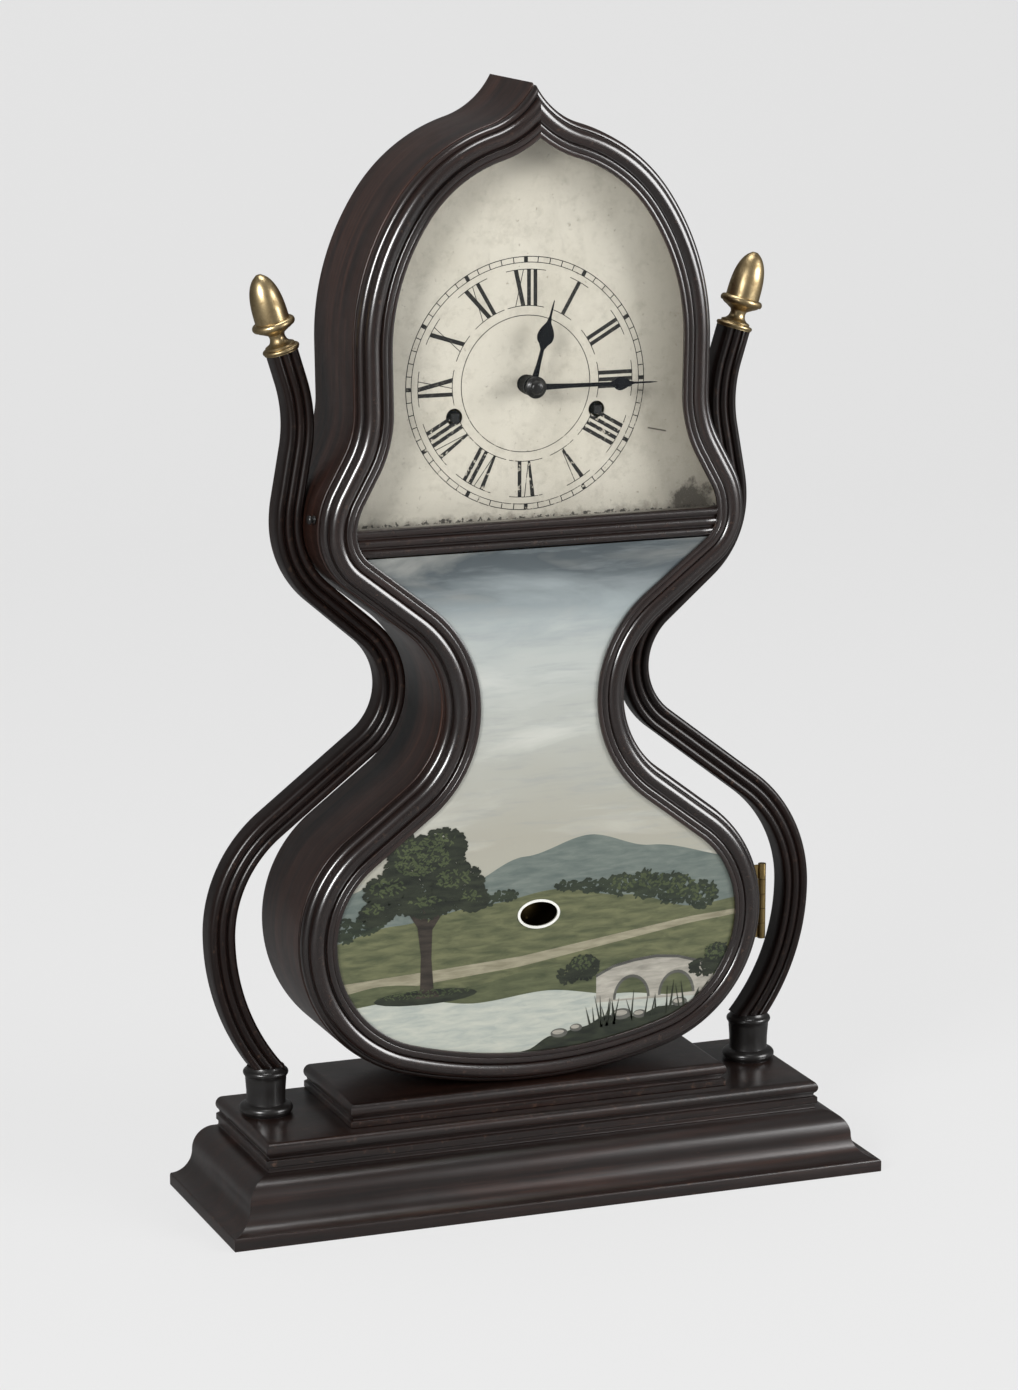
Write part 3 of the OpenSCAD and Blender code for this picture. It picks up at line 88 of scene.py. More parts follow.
def heading(a: Point, b: Point) -> float:
    """Returns the direction from a to b in degrees."""
    return math.degrees(math.atan2(b[1] - a[1], b[0] - a[0]))


def distance(a: Point, b: Point) -> float:
    """Returns the distance between two points."""
    return math.hypot(b[0] - a[0], b[1] - a[1])


def beside(x: float, z: float, radius: float, sign: int) -> Circle:
    """Returns a circle whose outermost point, or innermost where the sign is -1, is (x, z)."""
    return ((x - sign * radius, z), radius, sign)


def tangent(first: Circle, second: Circle) -> float:
    """Returns the outward normal's angle on the straight run between two bends.

    Args:
        first: Centre, radius and sign of the first bend; the sign is -1 where it is hollow.
        second: The same of the second bend.

    Returns:
        The angle in degrees.
    """
    (c1, r1, s1), (c2, r2, s2) = first, second
    return heading(c1, c2) - math.degrees(math.acos((s1 * r1 - s2 * r2) / distance(c1, c2)))


PLATFORM_TOP = 48.0
PLINTH_TOP = 61.0
COLLAR_TOP = PLATFORM_TOP + 27.0
SHOULDER_X = 122.0
RAIL_Z = 360.5
RAIL_GAP = 0.3
DIAL_Z = 446.5
DIAL_FOOT = 366.0


class Cut(Enum):
    """Where a bend is trimmed."""

    NONE = 0
    MIDDLE = 1
    COLLAR = 2


@dataclass(frozen=True)
class Bend:
    """One circular bend of an outline; its angles are those of the outward normal."""

    centre: Point
    radius: float
    sign: int
    start: float
    end: float
    cut: Cut = Cut.NONE

    def angles(self, inset: float) -> tuple[float, float]:
        """Returns the first and the last angle for a line moved in by the inset."""
        reach = self.radius - self.sign * inset
        first, last = self.start, self.end
        if self.cut is Cut.MIDDLE:
            last = math.degrees(math.acos(self.centre[0] / reach))
        if self.cut is Cut.COLLAR:
            first = math.degrees(math.asin((COLLAR_TOP - self.centre[1]) / reach))
        return first, last

    def at(self, inset: float, share: float) -> Point:
        """Returns the point at a share of the way along the bend, moved in by the inset."""
        first, last = self.angles(inset)
        reach = self.sign * (self.radius - self.sign * inset)
        return polar(self.centre, reach, first + share * (last - first))


def case_bends() -> list[Bend]:
    """Returns the right half of the case outline, from under the bulb up to the tip."""
    bulb_x, bulb_rise, low_r = 135.0, 88.0, 80.0
    bulb_z = PLINTH_TOP + bulb_rise
    waist_z = bulb_z + 125.5
    shoulder_z = waist_z + 99.5
    flank_z = shoulder_z + 64
    dome_r, crown_r, tip_r = 140.0, 95.0, 45.0
    dome_end, crown_end = 34.0, 73.0
    sole_r = ((bulb_x - low_r) ** 2 + bulb_rise ** 2 - low_r ** 2) / (2 * (bulb_rise - low_r))
    sole = ((0.0, PLINTH_TOP + sole_r), sole_r, 1)
    low = beside(bulb_x, bulb_z, low_r, 1)
    up = beside(bulb_x, bulb_z, 72.0, 1)
    waist = beside(52.2, waist_z, 54.0, -1)
    under = beside(SHOULDER_X, shoulder_z, 38.0, 1)
    over = beside(SHOULDER_X, shoulder_z, 50.0, 1)
    flank = beside(101.0, flank_z, 50.0, -1)
    dome = beside(101.5, flank_z + 32, dome_r, 1)
    crown = (polar(dome[0], dome_r - crown_r, dome_end), crown_r, 1)
    tip = (polar(crown[0], crown_r + tip_r, crown_end), tip_r, -1)
    sole_end = heading(sole[0], low[0])
    turns = [tangent(*pair) for pair in ((up, waist), (waist, under), (over, flank), (flank, dome))]
    return [
        Bend(*sole, -90, sole_end),
        Bend(*low, sole_end, 0),
        Bend(*up, 0, turns[0]),
        Bend(*waist, turns[0], turns[1]),
        Bend(*under, turns[1], 0),
        Bend(*over, 0, turns[2]),
        Bend(*flank, turns[2], turns[3]),
        Bend(*dome, turns[3], dome_end),
        Bend(*crown, dome_end, crown_end),
        Bend(*tip, crown_end, 0, Cut.MIDDLE),
    ]


CASE = case_bends()
NEAR = 1e-7
MERGE = 1e-6
COPY_MERGE = 2e-6
SMOOTH = 38.0
SMOOTH_COPY = 32.0
SMOOTH_PLATE = 30.0


def path(bends: list[Bend], inset: float, step: float = 1.5) -> list[Point]:
    """Returns the points of a row of bends, moved in by the inset.

    Args:
        bends: The bends in order.
        inset: How far the line is moved in.
        step: Rough distance between points on the uninset line.

    Returns:
        The points in order, the same number for every inset.
    """
    out: list[Point] = []
    for i, bend in enumerate(bends):
        first, last = bend.angles(0)
        count = max(2, math.ceil(math.radians(abs(last - first)) * bend.radius / step))
        touches = i > 0 and distance(bends[i - 1].at(0, 1), bend.at(0, 0)) < 0.01
        out += [bend.at(inset, k / count) for k in range(1 if touches else 0, count + 1)]
    return out


def half_width(inset: float, z: float) -> float:
    """Returns how far the inset case outline stands from the middle at a height."""
    line = path(CASE, inset)
    best = 0.0
    for a, b in zip(line, line[1:]):
        if min(a[1], b[1]) <= z <= max(a[1], b[1]) and abs(b[1] - a[1]) > 1e-6:
            best = max(best, a[0] + (b[0] - a[0]) * (z - a[1]) / (b[1] - a[1]))
    return best


def mirrored_outline(half: list[Point]) -> list[Point]:
    """Returns a right half outline with its mirror image, without doubling the middle."""
    return half + [(-p[0], p[1]) for p in reversed(half) if p[0] > 0.05]


def opening(low: float, high: float, inset: float = 15.3) -> list[Point]:
    """Returns the outline of the door's opening between two heights."""
    half = [p for p in path(CASE, inset) if low < p[1] < high]
    if low > PLINTH_TOP:
        half = [(half_width(inset, low), low)] + half
    else:
        half = half + [(half_width(inset, high), high)]
    return mirrored_outline(half)


def clean(points: list[Point]) -> list[Point]:
    """Returns the points without neighbours that coincide."""
    least = 0.02
    out: list[Point] = []
    for p in points:
        if not out or distance(p, out[-1]) > least:
            out.append(p)
    if distance(out[0], out[-1]) < least:
        out.pop()
    return out


def rounded(points: list[Point], radius: float) -> list[Triple]:
    """Rounds the corners of a closed profile and marks them.

    Args:
        points: The profile's corners in order.
        radius: Radius at a corner, made smaller where there is no room.

    Returns:
        Points with a third number, which is 1 on a rounded convex corner and 0 elsewhere.
    """
    sharp, steps = 28.0, 3
    room, guard_share, guard, least = 0.42, 0.45, 1.2, 0.15
    out: list[Triple] = []
    ahead = points[1:] + points[:1]
    area = sum(a[0] * b[1] - b[0] * a[1] for a, b in zip(points, ahead))
    for a, p, b in zip(points[-1:] + points[:-1], points, ahead):
        turn = (heading(p, b) - heading(a, p) + 180) % 360 - 180
        if abs(turn) < sharp:
            out.append((*p, 0.0))
            continue
        near, far = distance(a, p), distance(p, b)
        cut = min(radius * math.tan(math.radians(abs(turn)) / 2), room * near, room * far)
        before, after = min(guard, guard_share * near), min(guard, guard_share * far)
        start, end = polar(p, cut, heading(p, a)), polar(p, cut, heading(p, b))
        if before - cut > least:
            out.append((*polar(p, before, heading(p, a)), 0.0))
        for t in (k / steps for k in range(steps + 1)):
            x, y = ((1 - t) ** 2 * s + 2 * t * (1 - t) * c + t * t * e for s, c, e in zip(start, p, end))
            out.append((x, y, 1.0 if turn * area > 0 else 0.0))
        if after - cut > least:
            out.append((*polar(p, after, heading(p, b)), 0.0))
    return out


def linked(name: str, data: bpy.types.ID) -> Piece:
    """Returns a new object of the scene for a mesh, a lamp or a camera."""
    made = bpy.data.objects.new(name, data)
    bpy.context.scene.collection.objects.link(made)
    return made


def shaded(name: str, bm: bmesh.types.BMesh, smooth: float) -> Piece:
    """Turns a bmesh into an object and frees it; edges above so many degrees stay sharp."""
    mesh = bpy.data.meshes.new(name)
    bm.to_mesh(mesh)
    bm.free()
    mesh.shade_smooth()
    mesh.set_sharp_from_angle(angle=math.radians(smooth))
    return linked(name, mesh)


def finish_mesh(name: str, bm: bmesh.types.BMesh, smooth: float = SMOOTH) -> Piece:
    """Closes a bmesh into an object with outward normals and smooth rounds."""
    bmesh.ops.remove_doubles(bm, verts=bm.verts, dist=MERGE)
    bmesh.ops.recalc_face_normals(bm, faces=bm.faces)
    return shaded(name, bm, smooth)


def evaluated(piece: Piece) -> bpy.types.Mesh:
    """Returns a new mesh of the piece as its modifiers leave it."""
    graph = bpy.context.evaluated_depsgraph_get()
    graph.update()
    return bpy.data.meshes.new_from_object(piece.evaluated_get(graph))


def lengths(line: list[Vector]) -> list[float]:
    """Returns how far along a line each of its points lies."""
    out = [0.0]
    for a, b in zip(line, line[1:]):
        out.append(out[-1] + (b - a).length)
    return out


@dataclass
class Skin:
    """Rings of points that become one closed mesh with an arris mark and a UV map."""

    name: str
    rings: Rings
    marks: list[float]

    def build(self) -> Piece:
        """Returns the new object, at the origin."""
        bm = bmesh.new()
        layer = bm.verts.layers.float.new("arris")
        uv = bm.loops.layers.uv.new("UVMap")
        grid = []
        for ring in self.rings:
            row = [bm.verts.new(p * MM) for p in ring]
            for v, mark in zip(row, self.marks):
                v[layer] = mark
            grid.append(row)
        middle = self.rings[len(self.rings) // 2]
        along = lengths([ring[0] for ring in self.rings])
        around = lengths(middle + middle[:1])
        for i in range(len(grid) - 1):
            for j in range(len(middle)):
                quad = [(i, j), (i + 1, j), (i + 1, j + 1), (i, j + 1)]
                face = bm.faces.new([grid[a][b % len(middle)] for a, b in quad])
                for loop, (a, b) in zip(face.loops, quad):
                    loop[uv].uv = (along[a] * MM, around[b] * MM)
        for row, ring in ((grid[0], self.rings[0]), (grid[-1], self.rings[-1])):
            for tri in tessellate_polygon([ring]):
                face = bm.faces.new([row[k] for k in tri])
                for loop, k in zip(face.loops, tri):
                    loop[uv].uv = (ring[k].x * MM, (ring[k].z + ring[k].y) * MM)
        return finish_mesh(self.name, bm)


def swept(bends: list[Bend], profile: list[Triple], step: float = 1.5) -> Rings:
    """Returns the rings of an (inset, depth, arris) profile that follows a row of bends."""
    lines = [path(bends, p[0], step) for p in profile]
    return [[Vector((line[i][0], p[1], line[i][1])) for line, p in zip(lines, profile)]
            for i in range(len(lines[0]))]


def both_sides(name: str, rings: Rings, profile: list[Triple]) -> Iterator[tuple[str, int, Piece]]:
    """Yields the word, the sign and the piece of the right half, then those of the left."""
    marks = [p[2] for p in profile]
    for word, side in (("right", 1), ("left", -1)):
        turned = [[Vector((side * p.x, p.y, p.z)) for p in ring] for ring in rings]
        yield word, side, Skin(f"{name}_{word}", turned, marks).build()


def lathe(name: str, profile: list[Point], place: Matrix, segments: int = 72) -> Piece:
    """Turns a profile of (radius, height) points about an axis.

    Args:
        name: Name of the piece.
        profile: Points from the foot to the top; the first and last lie on the axis.
        place: Where the axis goes, in millimetres.
        segments: Faces round the axis.

    Returns:
        The new object.
    """
    bm = bmesh.new()
    rows = []
    for r, h in profile:
        ring = [polar((0, 0), r, 360 * k / segments) for k in range(segments)] if r > 0 else [(0, 0)]
        rows.append([bm.verts.new(place @ Vector((x, y, h)) * MM) for x, y in ring])
    for low, high in zip(rows, rows[1:]):
        for k in range(segments):
            j = (k + 1) % segments
            corners = [low[k % len(low)], low[j % len(low)], high[j % len(high)], high[k % len(high)]]
            corners = list(dict.fromkeys(corners))
            if len(corners) > 2:
                bm.faces.new(corners)
    return finish_mesh(name, bm)


def plate(name: str, outline: list[Point], front: float, back: float,
          holes: list[list[Point]] | None = None, bevel: float = 0.0) -> Piece:
    """Makes a flat piece between two depths, seen from the front.

    Args:
        name: Name of the piece.
        outline: Corners of its outer edge.
        front: Depth of its front face.
        back: Depth of its back face.
        holes: Corners of each hole.
        bevel: Width of a bevel round its front edges.

    Returns:
        The new object.
    """
    loops = [outline] + (holes or [])
    flat = [[Vector((p[0], 0, p[1])) for p in loop] for loop in loops]
    bm = bmesh.new()
    fronts, backs = ([bm.verts.new(Vector((p.x, depth, p.z)) * MM) for loop in flat for p in loop]
                     for depth in (front, back))
    for tri in tessellate_polygon(flat):
        bm.faces.new([fronts[k] for k in tri])
        bm.faces.new([backs[k] for k in reversed(tri)])
    start = 0
    for loop in loops:
        for k in range(len(loop)):
            a, b = start + k, start + (k + 1) % len(loop)
            bm.faces.new([fronts[a], fronts[b], backs[b], backs[a]])
        start += len(loop)
    if bevel > 0:
        rims = [e for e in bm.edges if all(abs(v.co.y - front * MM) < NEAR for v in e.verts)
                and any(abs(f.calc_center_median().y - front * MM) > NEAR for f in e.link_faces)]
        bmesh.ops.bevel(bm, geom=rims, offset=bevel * MM, segments=2, affect="EDGES", clamp_overlap=True)
    return finish_mesh(name, bm, SMOOTH_PLATE)


def copy_of(node: str) -> Piece:
    """Returns a merged, smoothly shaded copy of a node of the model."""
    bm = bmesh.new()
    bm.from_mesh(frame["nodes"][node].data)
    bmesh.ops.remove_doubles(bm, verts=bm.verts, dist=COPY_MERGE)
    return shaded(node + "_piece", bm, SMOOTH_COPY)


def joined(name: str, pieces: list[Piece]) -> Piece:
    """Joins several objects at the origin into one."""
    bm = bmesh.new()
    for piece in pieces:
        bm.from_mesh(piece.data)
        bpy.data.objects.remove(piece)
    return shaded(name, bm, SMOOTH_PLATE)


class Shade:
    """Builds one material's nodes."""

    def __init__(self, name: str) -> None:
        """Starts a material with a Principled shader and nothing else."""
        self.material = bpy.data.materials.new(name)
        self.material.use_nodes = True
        self.tree = self.material.node_tree
        self.tree.nodes.clear()
        self.shader = self.tree.nodes.new("ShaderNodeBsdfPrincipled")
        out = self.tree.nodes.new("ShaderNodeOutputMaterial")
        self.tree.links.new(self.shader.outputs[0], out.inputs[0])

    def node(self, kind: str, inputs: dict[int | str, object], **settings: object) -> bpy.types.Node:
        """Adds a node with its settings, and links or sets some of its inputs.

        Args:
            kind: The node's type without the words Shader and Node.
            inputs: A socket or a plain value for each input's number or name.
            settings: Values for the node's own properties.

        Returns:
            The node.
        """
        node = self.tree.nodes.new("ShaderNode" + kind)
        for word, value in settings.items():
            setattr(node, word, value)
        for key, value in inputs.items():
            self.put(node.inputs[key], value)
        return node

    def put(self, socket: Socket, value: object) -> None:
        """Links a socket or sets a plain value on it."""
        if isinstance(value, Socket):
            self.tree.links.new(value, socket)
        elif isinstance(value, tuple) and socket.type == "RGBA":
            socket.default_value = (*value, 1.0)
        else:
            socket.default_value = value

    def surface(self, **values: object) -> None:
        """Sets the shader's sockets; a word's underscores stand for spaces."""
        for key, value in values.items():
            self.put(self.shader.inputs[key.replace("_", " ").title().replace("Ior", "IOR")], value)

    def place(self, scale: Triple = (1, 1, 1), turn: Triple = (0, 0, 0), uv: bool = False) -> Socket:
        """Returns coordinates on the piece, in metres, after a scale and a turn."""
        source = self.node("TexCoord", {}).outputs["UV" if uv else "Object"]
        return self.node("Mapping", {"Vector": source, "Scale": scale, "Rotation": turn}).outputs[0]

    def noise(self, where: Socket, scale: float, detail: float = 4, rough: float = 0.55,
              warp: float = 0.0) -> Socket:
        """Returns a noise value between 0 and 1."""
        return self.node("TexNoise", {"Vector": where, "Scale": scale, "Detail": detail,
                                      "Roughness": rough, "Distortion": warp}).outputs[0]

    def ramp(self, value: Socket, *stops: tuple[float, object]) -> Socket:
        """Returns a colour ramp of (place, colour or grey) stops."""
        node = self.node("ValToRGB", {0: value})
        ends = node.color_ramp.elements
        while len(ends) < len(stops):
            ends.new(0.5)
        for end, (at, colour) in zip(ends, stops):
            end.position = at
            end.color = (*colour, 1) if isinstance(colour, tuple) else (colour, colour, colour, 1)
        return node.outputs[0]

    def mix(self, share: object, a: object, b: object) -> Socket:
        """Returns a mix of two colours."""
        return self.node("Mix", {0: share, 6: a, 7: b}, data_type="RGBA").outputs[2]

    def stain(self, body: Socket, value: Socket, low: float, high: float, most: float,
              colour: Triple) -> Socket:
        """Returns the body with a colour over it, from none at the value low to most at high."""
        return self.mix(self.ramp(value, (low, 0.0), (high, most)), body, colour)

    def cover(self, body: Socket, mask: Socket, most: object, colour: Triple) -> Socket:
        """Returns the body with a colour over it, as strong as most where the mask is 1."""
        return self.mix(self.math("MULTIPLY", mask, most), body, colour)

    def math(self, operation: str, a: object, b: object = 0.0) -> Socket:
        """Returns the result of a sum on two numbers."""
        return self.node("Math", {0: a, 1: b}, operation=operation).outputs[0]

    def part(self, where: Socket, axis: str) -> Socket:
        """Returns one coordinate."""
        return self.node("SeparateXYZ", {0: where}).outputs[axis]

    def within(self, value: Socket, low: float, high: float) -> Socket:
        """Returns 0 below low and 1 above high, with an even rise between."""
        return self.node("MapRange", {0: value, 1: low, 2: high}).outputs[0]

    def mark(self, name: str) -> Socket:
        """Returns a number stored on the mesh."""
        return self.node("Attribute", {}, attribute_name=name).outputs["Fac"]

    def ray(self, kind: str) -> Socket:
        """Returns 1 for rays of a kind, such as Is Camera Ray, else 0."""
        return self.node("LightPath", {}).outputs[kind]

    def bump(self, height: Socket, depth: float, strength: float) -> Socket:
        """Returns a normal for a height of so many metres."""
        return self.node("Bump", {"Strength": strength, "Distance": depth, "Height": height}).outputs[0]


@dataclass(frozen=True)
class Wood:
    """Shellacked or bare wood whose grain runs along the bend or along one axis."""

    name: str
    dark: Triple
    mid: Triple
    light: Triple
    worn: Triple
    gloss: float
    rough: float = 0.34
    coat_rough: float = 0.24
    coat_ior: float = 1.5
    along_uv: bool = True
    turn: Triple = (0, 0, 0)
    wear: float = 0.5

    def make(self) -> Material:
        """Returns the material: streaked grain, pores, worn arrises and uneven gloss."""
        s = Shade(self.name)
        plain = s.place()
        broad, fine, close = (s.place(scale, self.turn, self.along_uv)
                              for scale in ((3, 46, 46), (14, 420, 420), (60, 1500, 1500)))
        figure = s.noise(broad, 1.6, 5, 0.6, 0.9)
        streak = s.noise(fine, 1.0, 4, 0.65, 0.3)
        pore = s.noise(close, 1.0, 2, 0.5)
        body = s.ramp(figure, (0.3, self.dark), (0.52, self.mid), (0.74, self.light))
        body = s.stain(body, streak, 0.42, 0.62, 0.65, self.dark)
        body = s.stain(body, pore, 0.56, 0.66, 0.5, tuple(0.4 * c for c in self.dark))
        patch = s.ramp(s.noise(plain, 260, 5, 0.62), (0.58, 0.0), (0.72, self.wear))
        rub = s.math("MULTIPLY", s.mark("arris"), patch)
        spots = s.ramp(s.noise(plain, 700, 3, 0.5), (0.72, 0.0), (0.8, 0.3 * self.wear))
        body = s.mix(s.math("MAXIMUM", rub, spots), body, self.worn)
        rough = s.ramp(s.noise(plain, 26, 4, 0.6), (0.3, self.rough - 0.05), (0.7, self.rough + 0.09))
        height = s.math("ADD", s.math("MULTIPLY", pore, -0.5), s.math("MULTIPLY", streak, 0.6))
        s.surface(base_color=body, roughness=rough, coat_weight=self.gloss, coat_roughness=self.coat_rough,
                  coat_ior=self.coat_ior, specular_ior_level=0.3, normal=s.bump(height, 0.00006, 0.7))
        return s.material


@dataclass(frozen=True)
class Metal:
    """Gilt, brass, blued or bright metal with tarnish and fine scratches."""

    name: str
    colour: Triple
    tarnish: Triple
    rough: float
    amount: float
    scale: float
    metallic: float = 1.0

    def make(self) -> Material:
        """Returns the material."""
        s = Shade(self.name)
        plain = s.place()
        cloud = s.noise(plain, self.scale, 6, 0.62, 0.4)
        grit = s.noise(plain, self.scale * 9, 3, 0.6)
        body = s.mix(s.ramp(cloud, (0.44, 0.0), (0.66, self.amount)), self.colour, self.tarnish)
        body = s.stain(body, grit, 0.6, 0.72, 0.35 * self.amount, self.tarnish)
        rough = s.ramp(cloud, (0.3, self.rough - 0.06), (0.7, self.rough + 0.16))
        s.surface(base_color=body, metallic=self.metallic, roughness=rough, normal=s.bump(grit, 0.00003, 0.5))
        return s.material


@dataclass(frozen=True)
class Enamel:
    """Smooth paint or stain with faint unevenness."""

    name: str
    colour: Triple
    rough: float
    coat: float
    shine: float = 0.5
    vary: float = 0.25

    def make(self) -> Material:
        """Returns the material."""
        s = Shade(self.name)
        plain = s.place()
        fine = s.noise(plain, 900, 3, 0.6)
        darker, lighter = (tuple(c * (1 + turn * self.vary) for c in self.colour) for turn in (-1, 1))
        s.surface(base_color=s.ramp(s.noise(plain, 70, 5, 0.6), (0.3, darker), (0.7, lighter)),
                  roughness=s.ramp(fine, (0.3, self.rough - 0.06), (0.7, self.rough + 0.08)),
                  coat_weight=self.coat, coat_roughness=0.12, specular_ior_level=self.shine,
                  normal=s.bump(fine, 0.00002, 0.4))
        return s.material


@dataclass(frozen=True)
class Pane:
    """Old clear glass that barely shows."""

    name: str = "old clear glass"

    def make(self) -> Material:
        """Returns the material, mostly clear with a faint wave in its gloss."""
        s = Shade(self.name)
        wave = s.noise(s.place(), 14, 2, 0.5)
        s.surface(base_color=s.ramp(wave, (0.3, (0.02, 0.024, 0.022)), (0.7, (0.03, 0.034, 0.032))),
                  roughness=0.02, alpha=0.1, normal=s.bump(wave, 0.0004, 0.3))
        return s.material


@dataclass(frozen=True)
class DialPaint:
    """Cream paint on zinc: mottled, painted shade at the right and top edges, chipped along the bottom; in
    metres.
    """

    name: str = "cream dial paint"
    low: float = DIAL_FOOT * MM
    stain_x: float = 0.098
    scratch: Point = (0.0765, 0.4175)

    def make(self) -> Material:
        """Returns the material."""
        s = Shade(self.name)
        where = s.place()
        x, z = s.part(where, "X"), s.part(where, "Z")
        broad = s.noise(where, 16, 6, 0.6)
        fine = s.noise(where, 160, 6, 0.68)
        cloud = s.noise(s.place((1, 1, 0.6)), 34, 5, 0.65, 0.5)
        ragged = s.noise(where, 300, 5, 0.6)
        body = s.ramp(broad, (0.28, (0.66, 0.62, 0.51)), (0.5, (0.72, 0.68, 0.57)),
                      (0.75, (0.77, 0.73, 0.62)))
        body = s.stain(body, fine, 0.5, 0.7, 0.38, (0.40, 0.365, 0.29))
        body = s.stain(body, cloud, 0.5, 0.75, 0.34, (0.40, 0.37, 0.30))
        # The first two rows darken the right and the top edge: painted shade of the door frame. The last two
        # darken the bottom edge as chipped paint.
        for along, noise, sway, start, end, most, colour in (
                (x, broad, 0.03, 0.072, 0.118, 0.5, (0.33, 0.29, 0.22)),
                (z, broad, 0.03, 0.545, 0.60, 0.35, (0.38, 0.34, 0.27)),
                (z, fine, -0.016, self.low + 0.004, self.low - 0.004, 0.75, (0.12, 0.10, 0.08)),
                (z, ragged, -0.016, self.low - 0.0002, self.low - 0.0008, 0.9, (0.03, 0.026, 0.022))):
            edge = s.within(s.math("ADD", along, s.math("MULTIPLY", noise, sway)), start, end)
            body = s.cover(body, edge, most, colour)
        across, up = s.math("SUBTRACT", x, self.stain_x), s.math("SUBTRACT", z, self.low + 0.008)
        corner = s.math("ADD", s.math("MULTIPLY", across, across), s.math("MULTIPLY", up, up))
        corner = s.math("ADD", corner, s.math("MULTIPLY", s.math("SUBTRACT", fine, 0.5), 0.0008))
        body = s.cover(body, s.within(corner, 0.00022, 0.00008), 0.85, (0.09, 0.075, 0.06))
        beside_x = s.math("SUBTRACT", x, self.scratch[0])
        slope = s.math("ADD", s.math("MULTIPLY", beside_x, 0.22), z)
        off = s.math("ABSOLUTE", s.math("SUBTRACT", slope, self.scratch[1]))
        scratch = s.math("MULTIPLY", s.within(off, 0.0006, 0.0002),
                         s.within(s.math("ABSOLUTE", beside_x), 0.0058, 0.005))
        broken = s.ramp(fine, (0.42, 0.0), (0.5, 0.9))
        body = s.cover(body, scratch, broken, (0.06, 0.05, 0.04))
        body = s.stain(body, s.noise(where, 420, 4, 0.6), 0.66, 0.72, 0.6, (0.30, 0.26, 0.2))
        s.surface(base_color=body, roughness=s.ramp(fine, (0.3, 0.42), (0.7, 0.58)), coat_weight=0.15,
                  coat_roughness=0.3, normal=s.bump(fine, 0.00005, 0.6))
        return s.material


@dataclass(frozen=True)
class DialInk:
    """Black dial paint, chipped through to the cream in the lower half."""

    name: str = "black dial paint"
    black: Triple = (0.012, 0.011, 0.010)
    cream: Triple = (0.55, 0.51, 0.42)

    def make(self) -> Material:
        """Returns the material."""
        s = Shade(self.name)
        where = s.place()
        chip = s.ramp(s.noise(where, 520, 4, 0.62), (0.585, 0.0), (0.62, 1.0))
        lower = s.within(s.part(where, "Z"), 0.452, 0.425)
        share = s.math("MULTIPLY", chip, s.math("MAXIMUM", lower, 0.08))
        grain = s.noise(where, 900, 3, 0.6)
        s.surface(base_color=s.mix(share, self.black, self.cream), coat_weight=0.1, coat_roughness=0.2,
                  roughness=s.ramp(grain, (0.3, 0.4), (0.7, 0.54)), normal=s.bump(grain, 0.00002, 0.4))
        return s.material


@dataclass(frozen=True)
class SkyPaint:
    """The tablet's ground: a streaked sky over pale water, with painted shadow of the rail along its top."""

    name: str = "painted sky"

    def make(self) -> Material:
        """Returns the material."""
        s = Shade(self.name)
        z = s.part(s.place(), "Z")
        long = s.noise(s.place((9, 9, 40), (0, math.radians(9), 0)), 1.0, 5, 0.55, 0.6)
        thin = s.noise(s.place((30, 30, 260), (0, math.radians(5), 0)), 1.0, 4, 0.6, 0.3)
        lift = s.math("ADD", z, s.math("MULTIPLY", s.math("SUBTRACT", long, 0.5), 0.05))
        # The ramp darkens to near black at its top: painted shadow of the cross rail on the sky.
        body = s.ramp(s.within(lift, 0.10, 0.37), (0.0, (0.34, 0.34, 0.28)), (0.36, (0.31, 0.30, 0.25)),
                      (0.72, (0.37, 0.39, 0.37)), (0.83, (0.25, 0.285, 0.29)), (0.91, (0.07, 0.085, 0.092)),
                      (1.0, (0.035, 0.045, 0.05)))
        body = s.stain(body, long, 0.5, 0.72, 0.3, (0.70, 0.69, 0.62))
        body = s.stain(body, thin, 0.5, 0.72, 0.34, (0.22, 0.245, 0.25))
        s.surface(base_color=body, roughness=0.3, coat_weight=0.7, coat_roughness=0.04)
        return s.material


@dataclass(frozen=True)
class LandPaint:
    """Painted land, water or leaves: two tones in strokes, under glass."""

    name: str
    dark: Triple
    light: Triple
    spread: float = 0.16

    def make(self) -> Material:
        """Returns the material."""
        s = Shade("paint, " + self.name)
        stroke = s.noise(s.place((60, 60, 300)), 1.0, 5, 0.6, 0.4)
        body = s.ramp(stroke, (0.5 - self.spread, self.dark), (0.5 + self.spread, self.light))
        s.surface(base_color=body, roughness=0.35, coat_weight=0.7, coat_roughness=0.05)
        return s.material


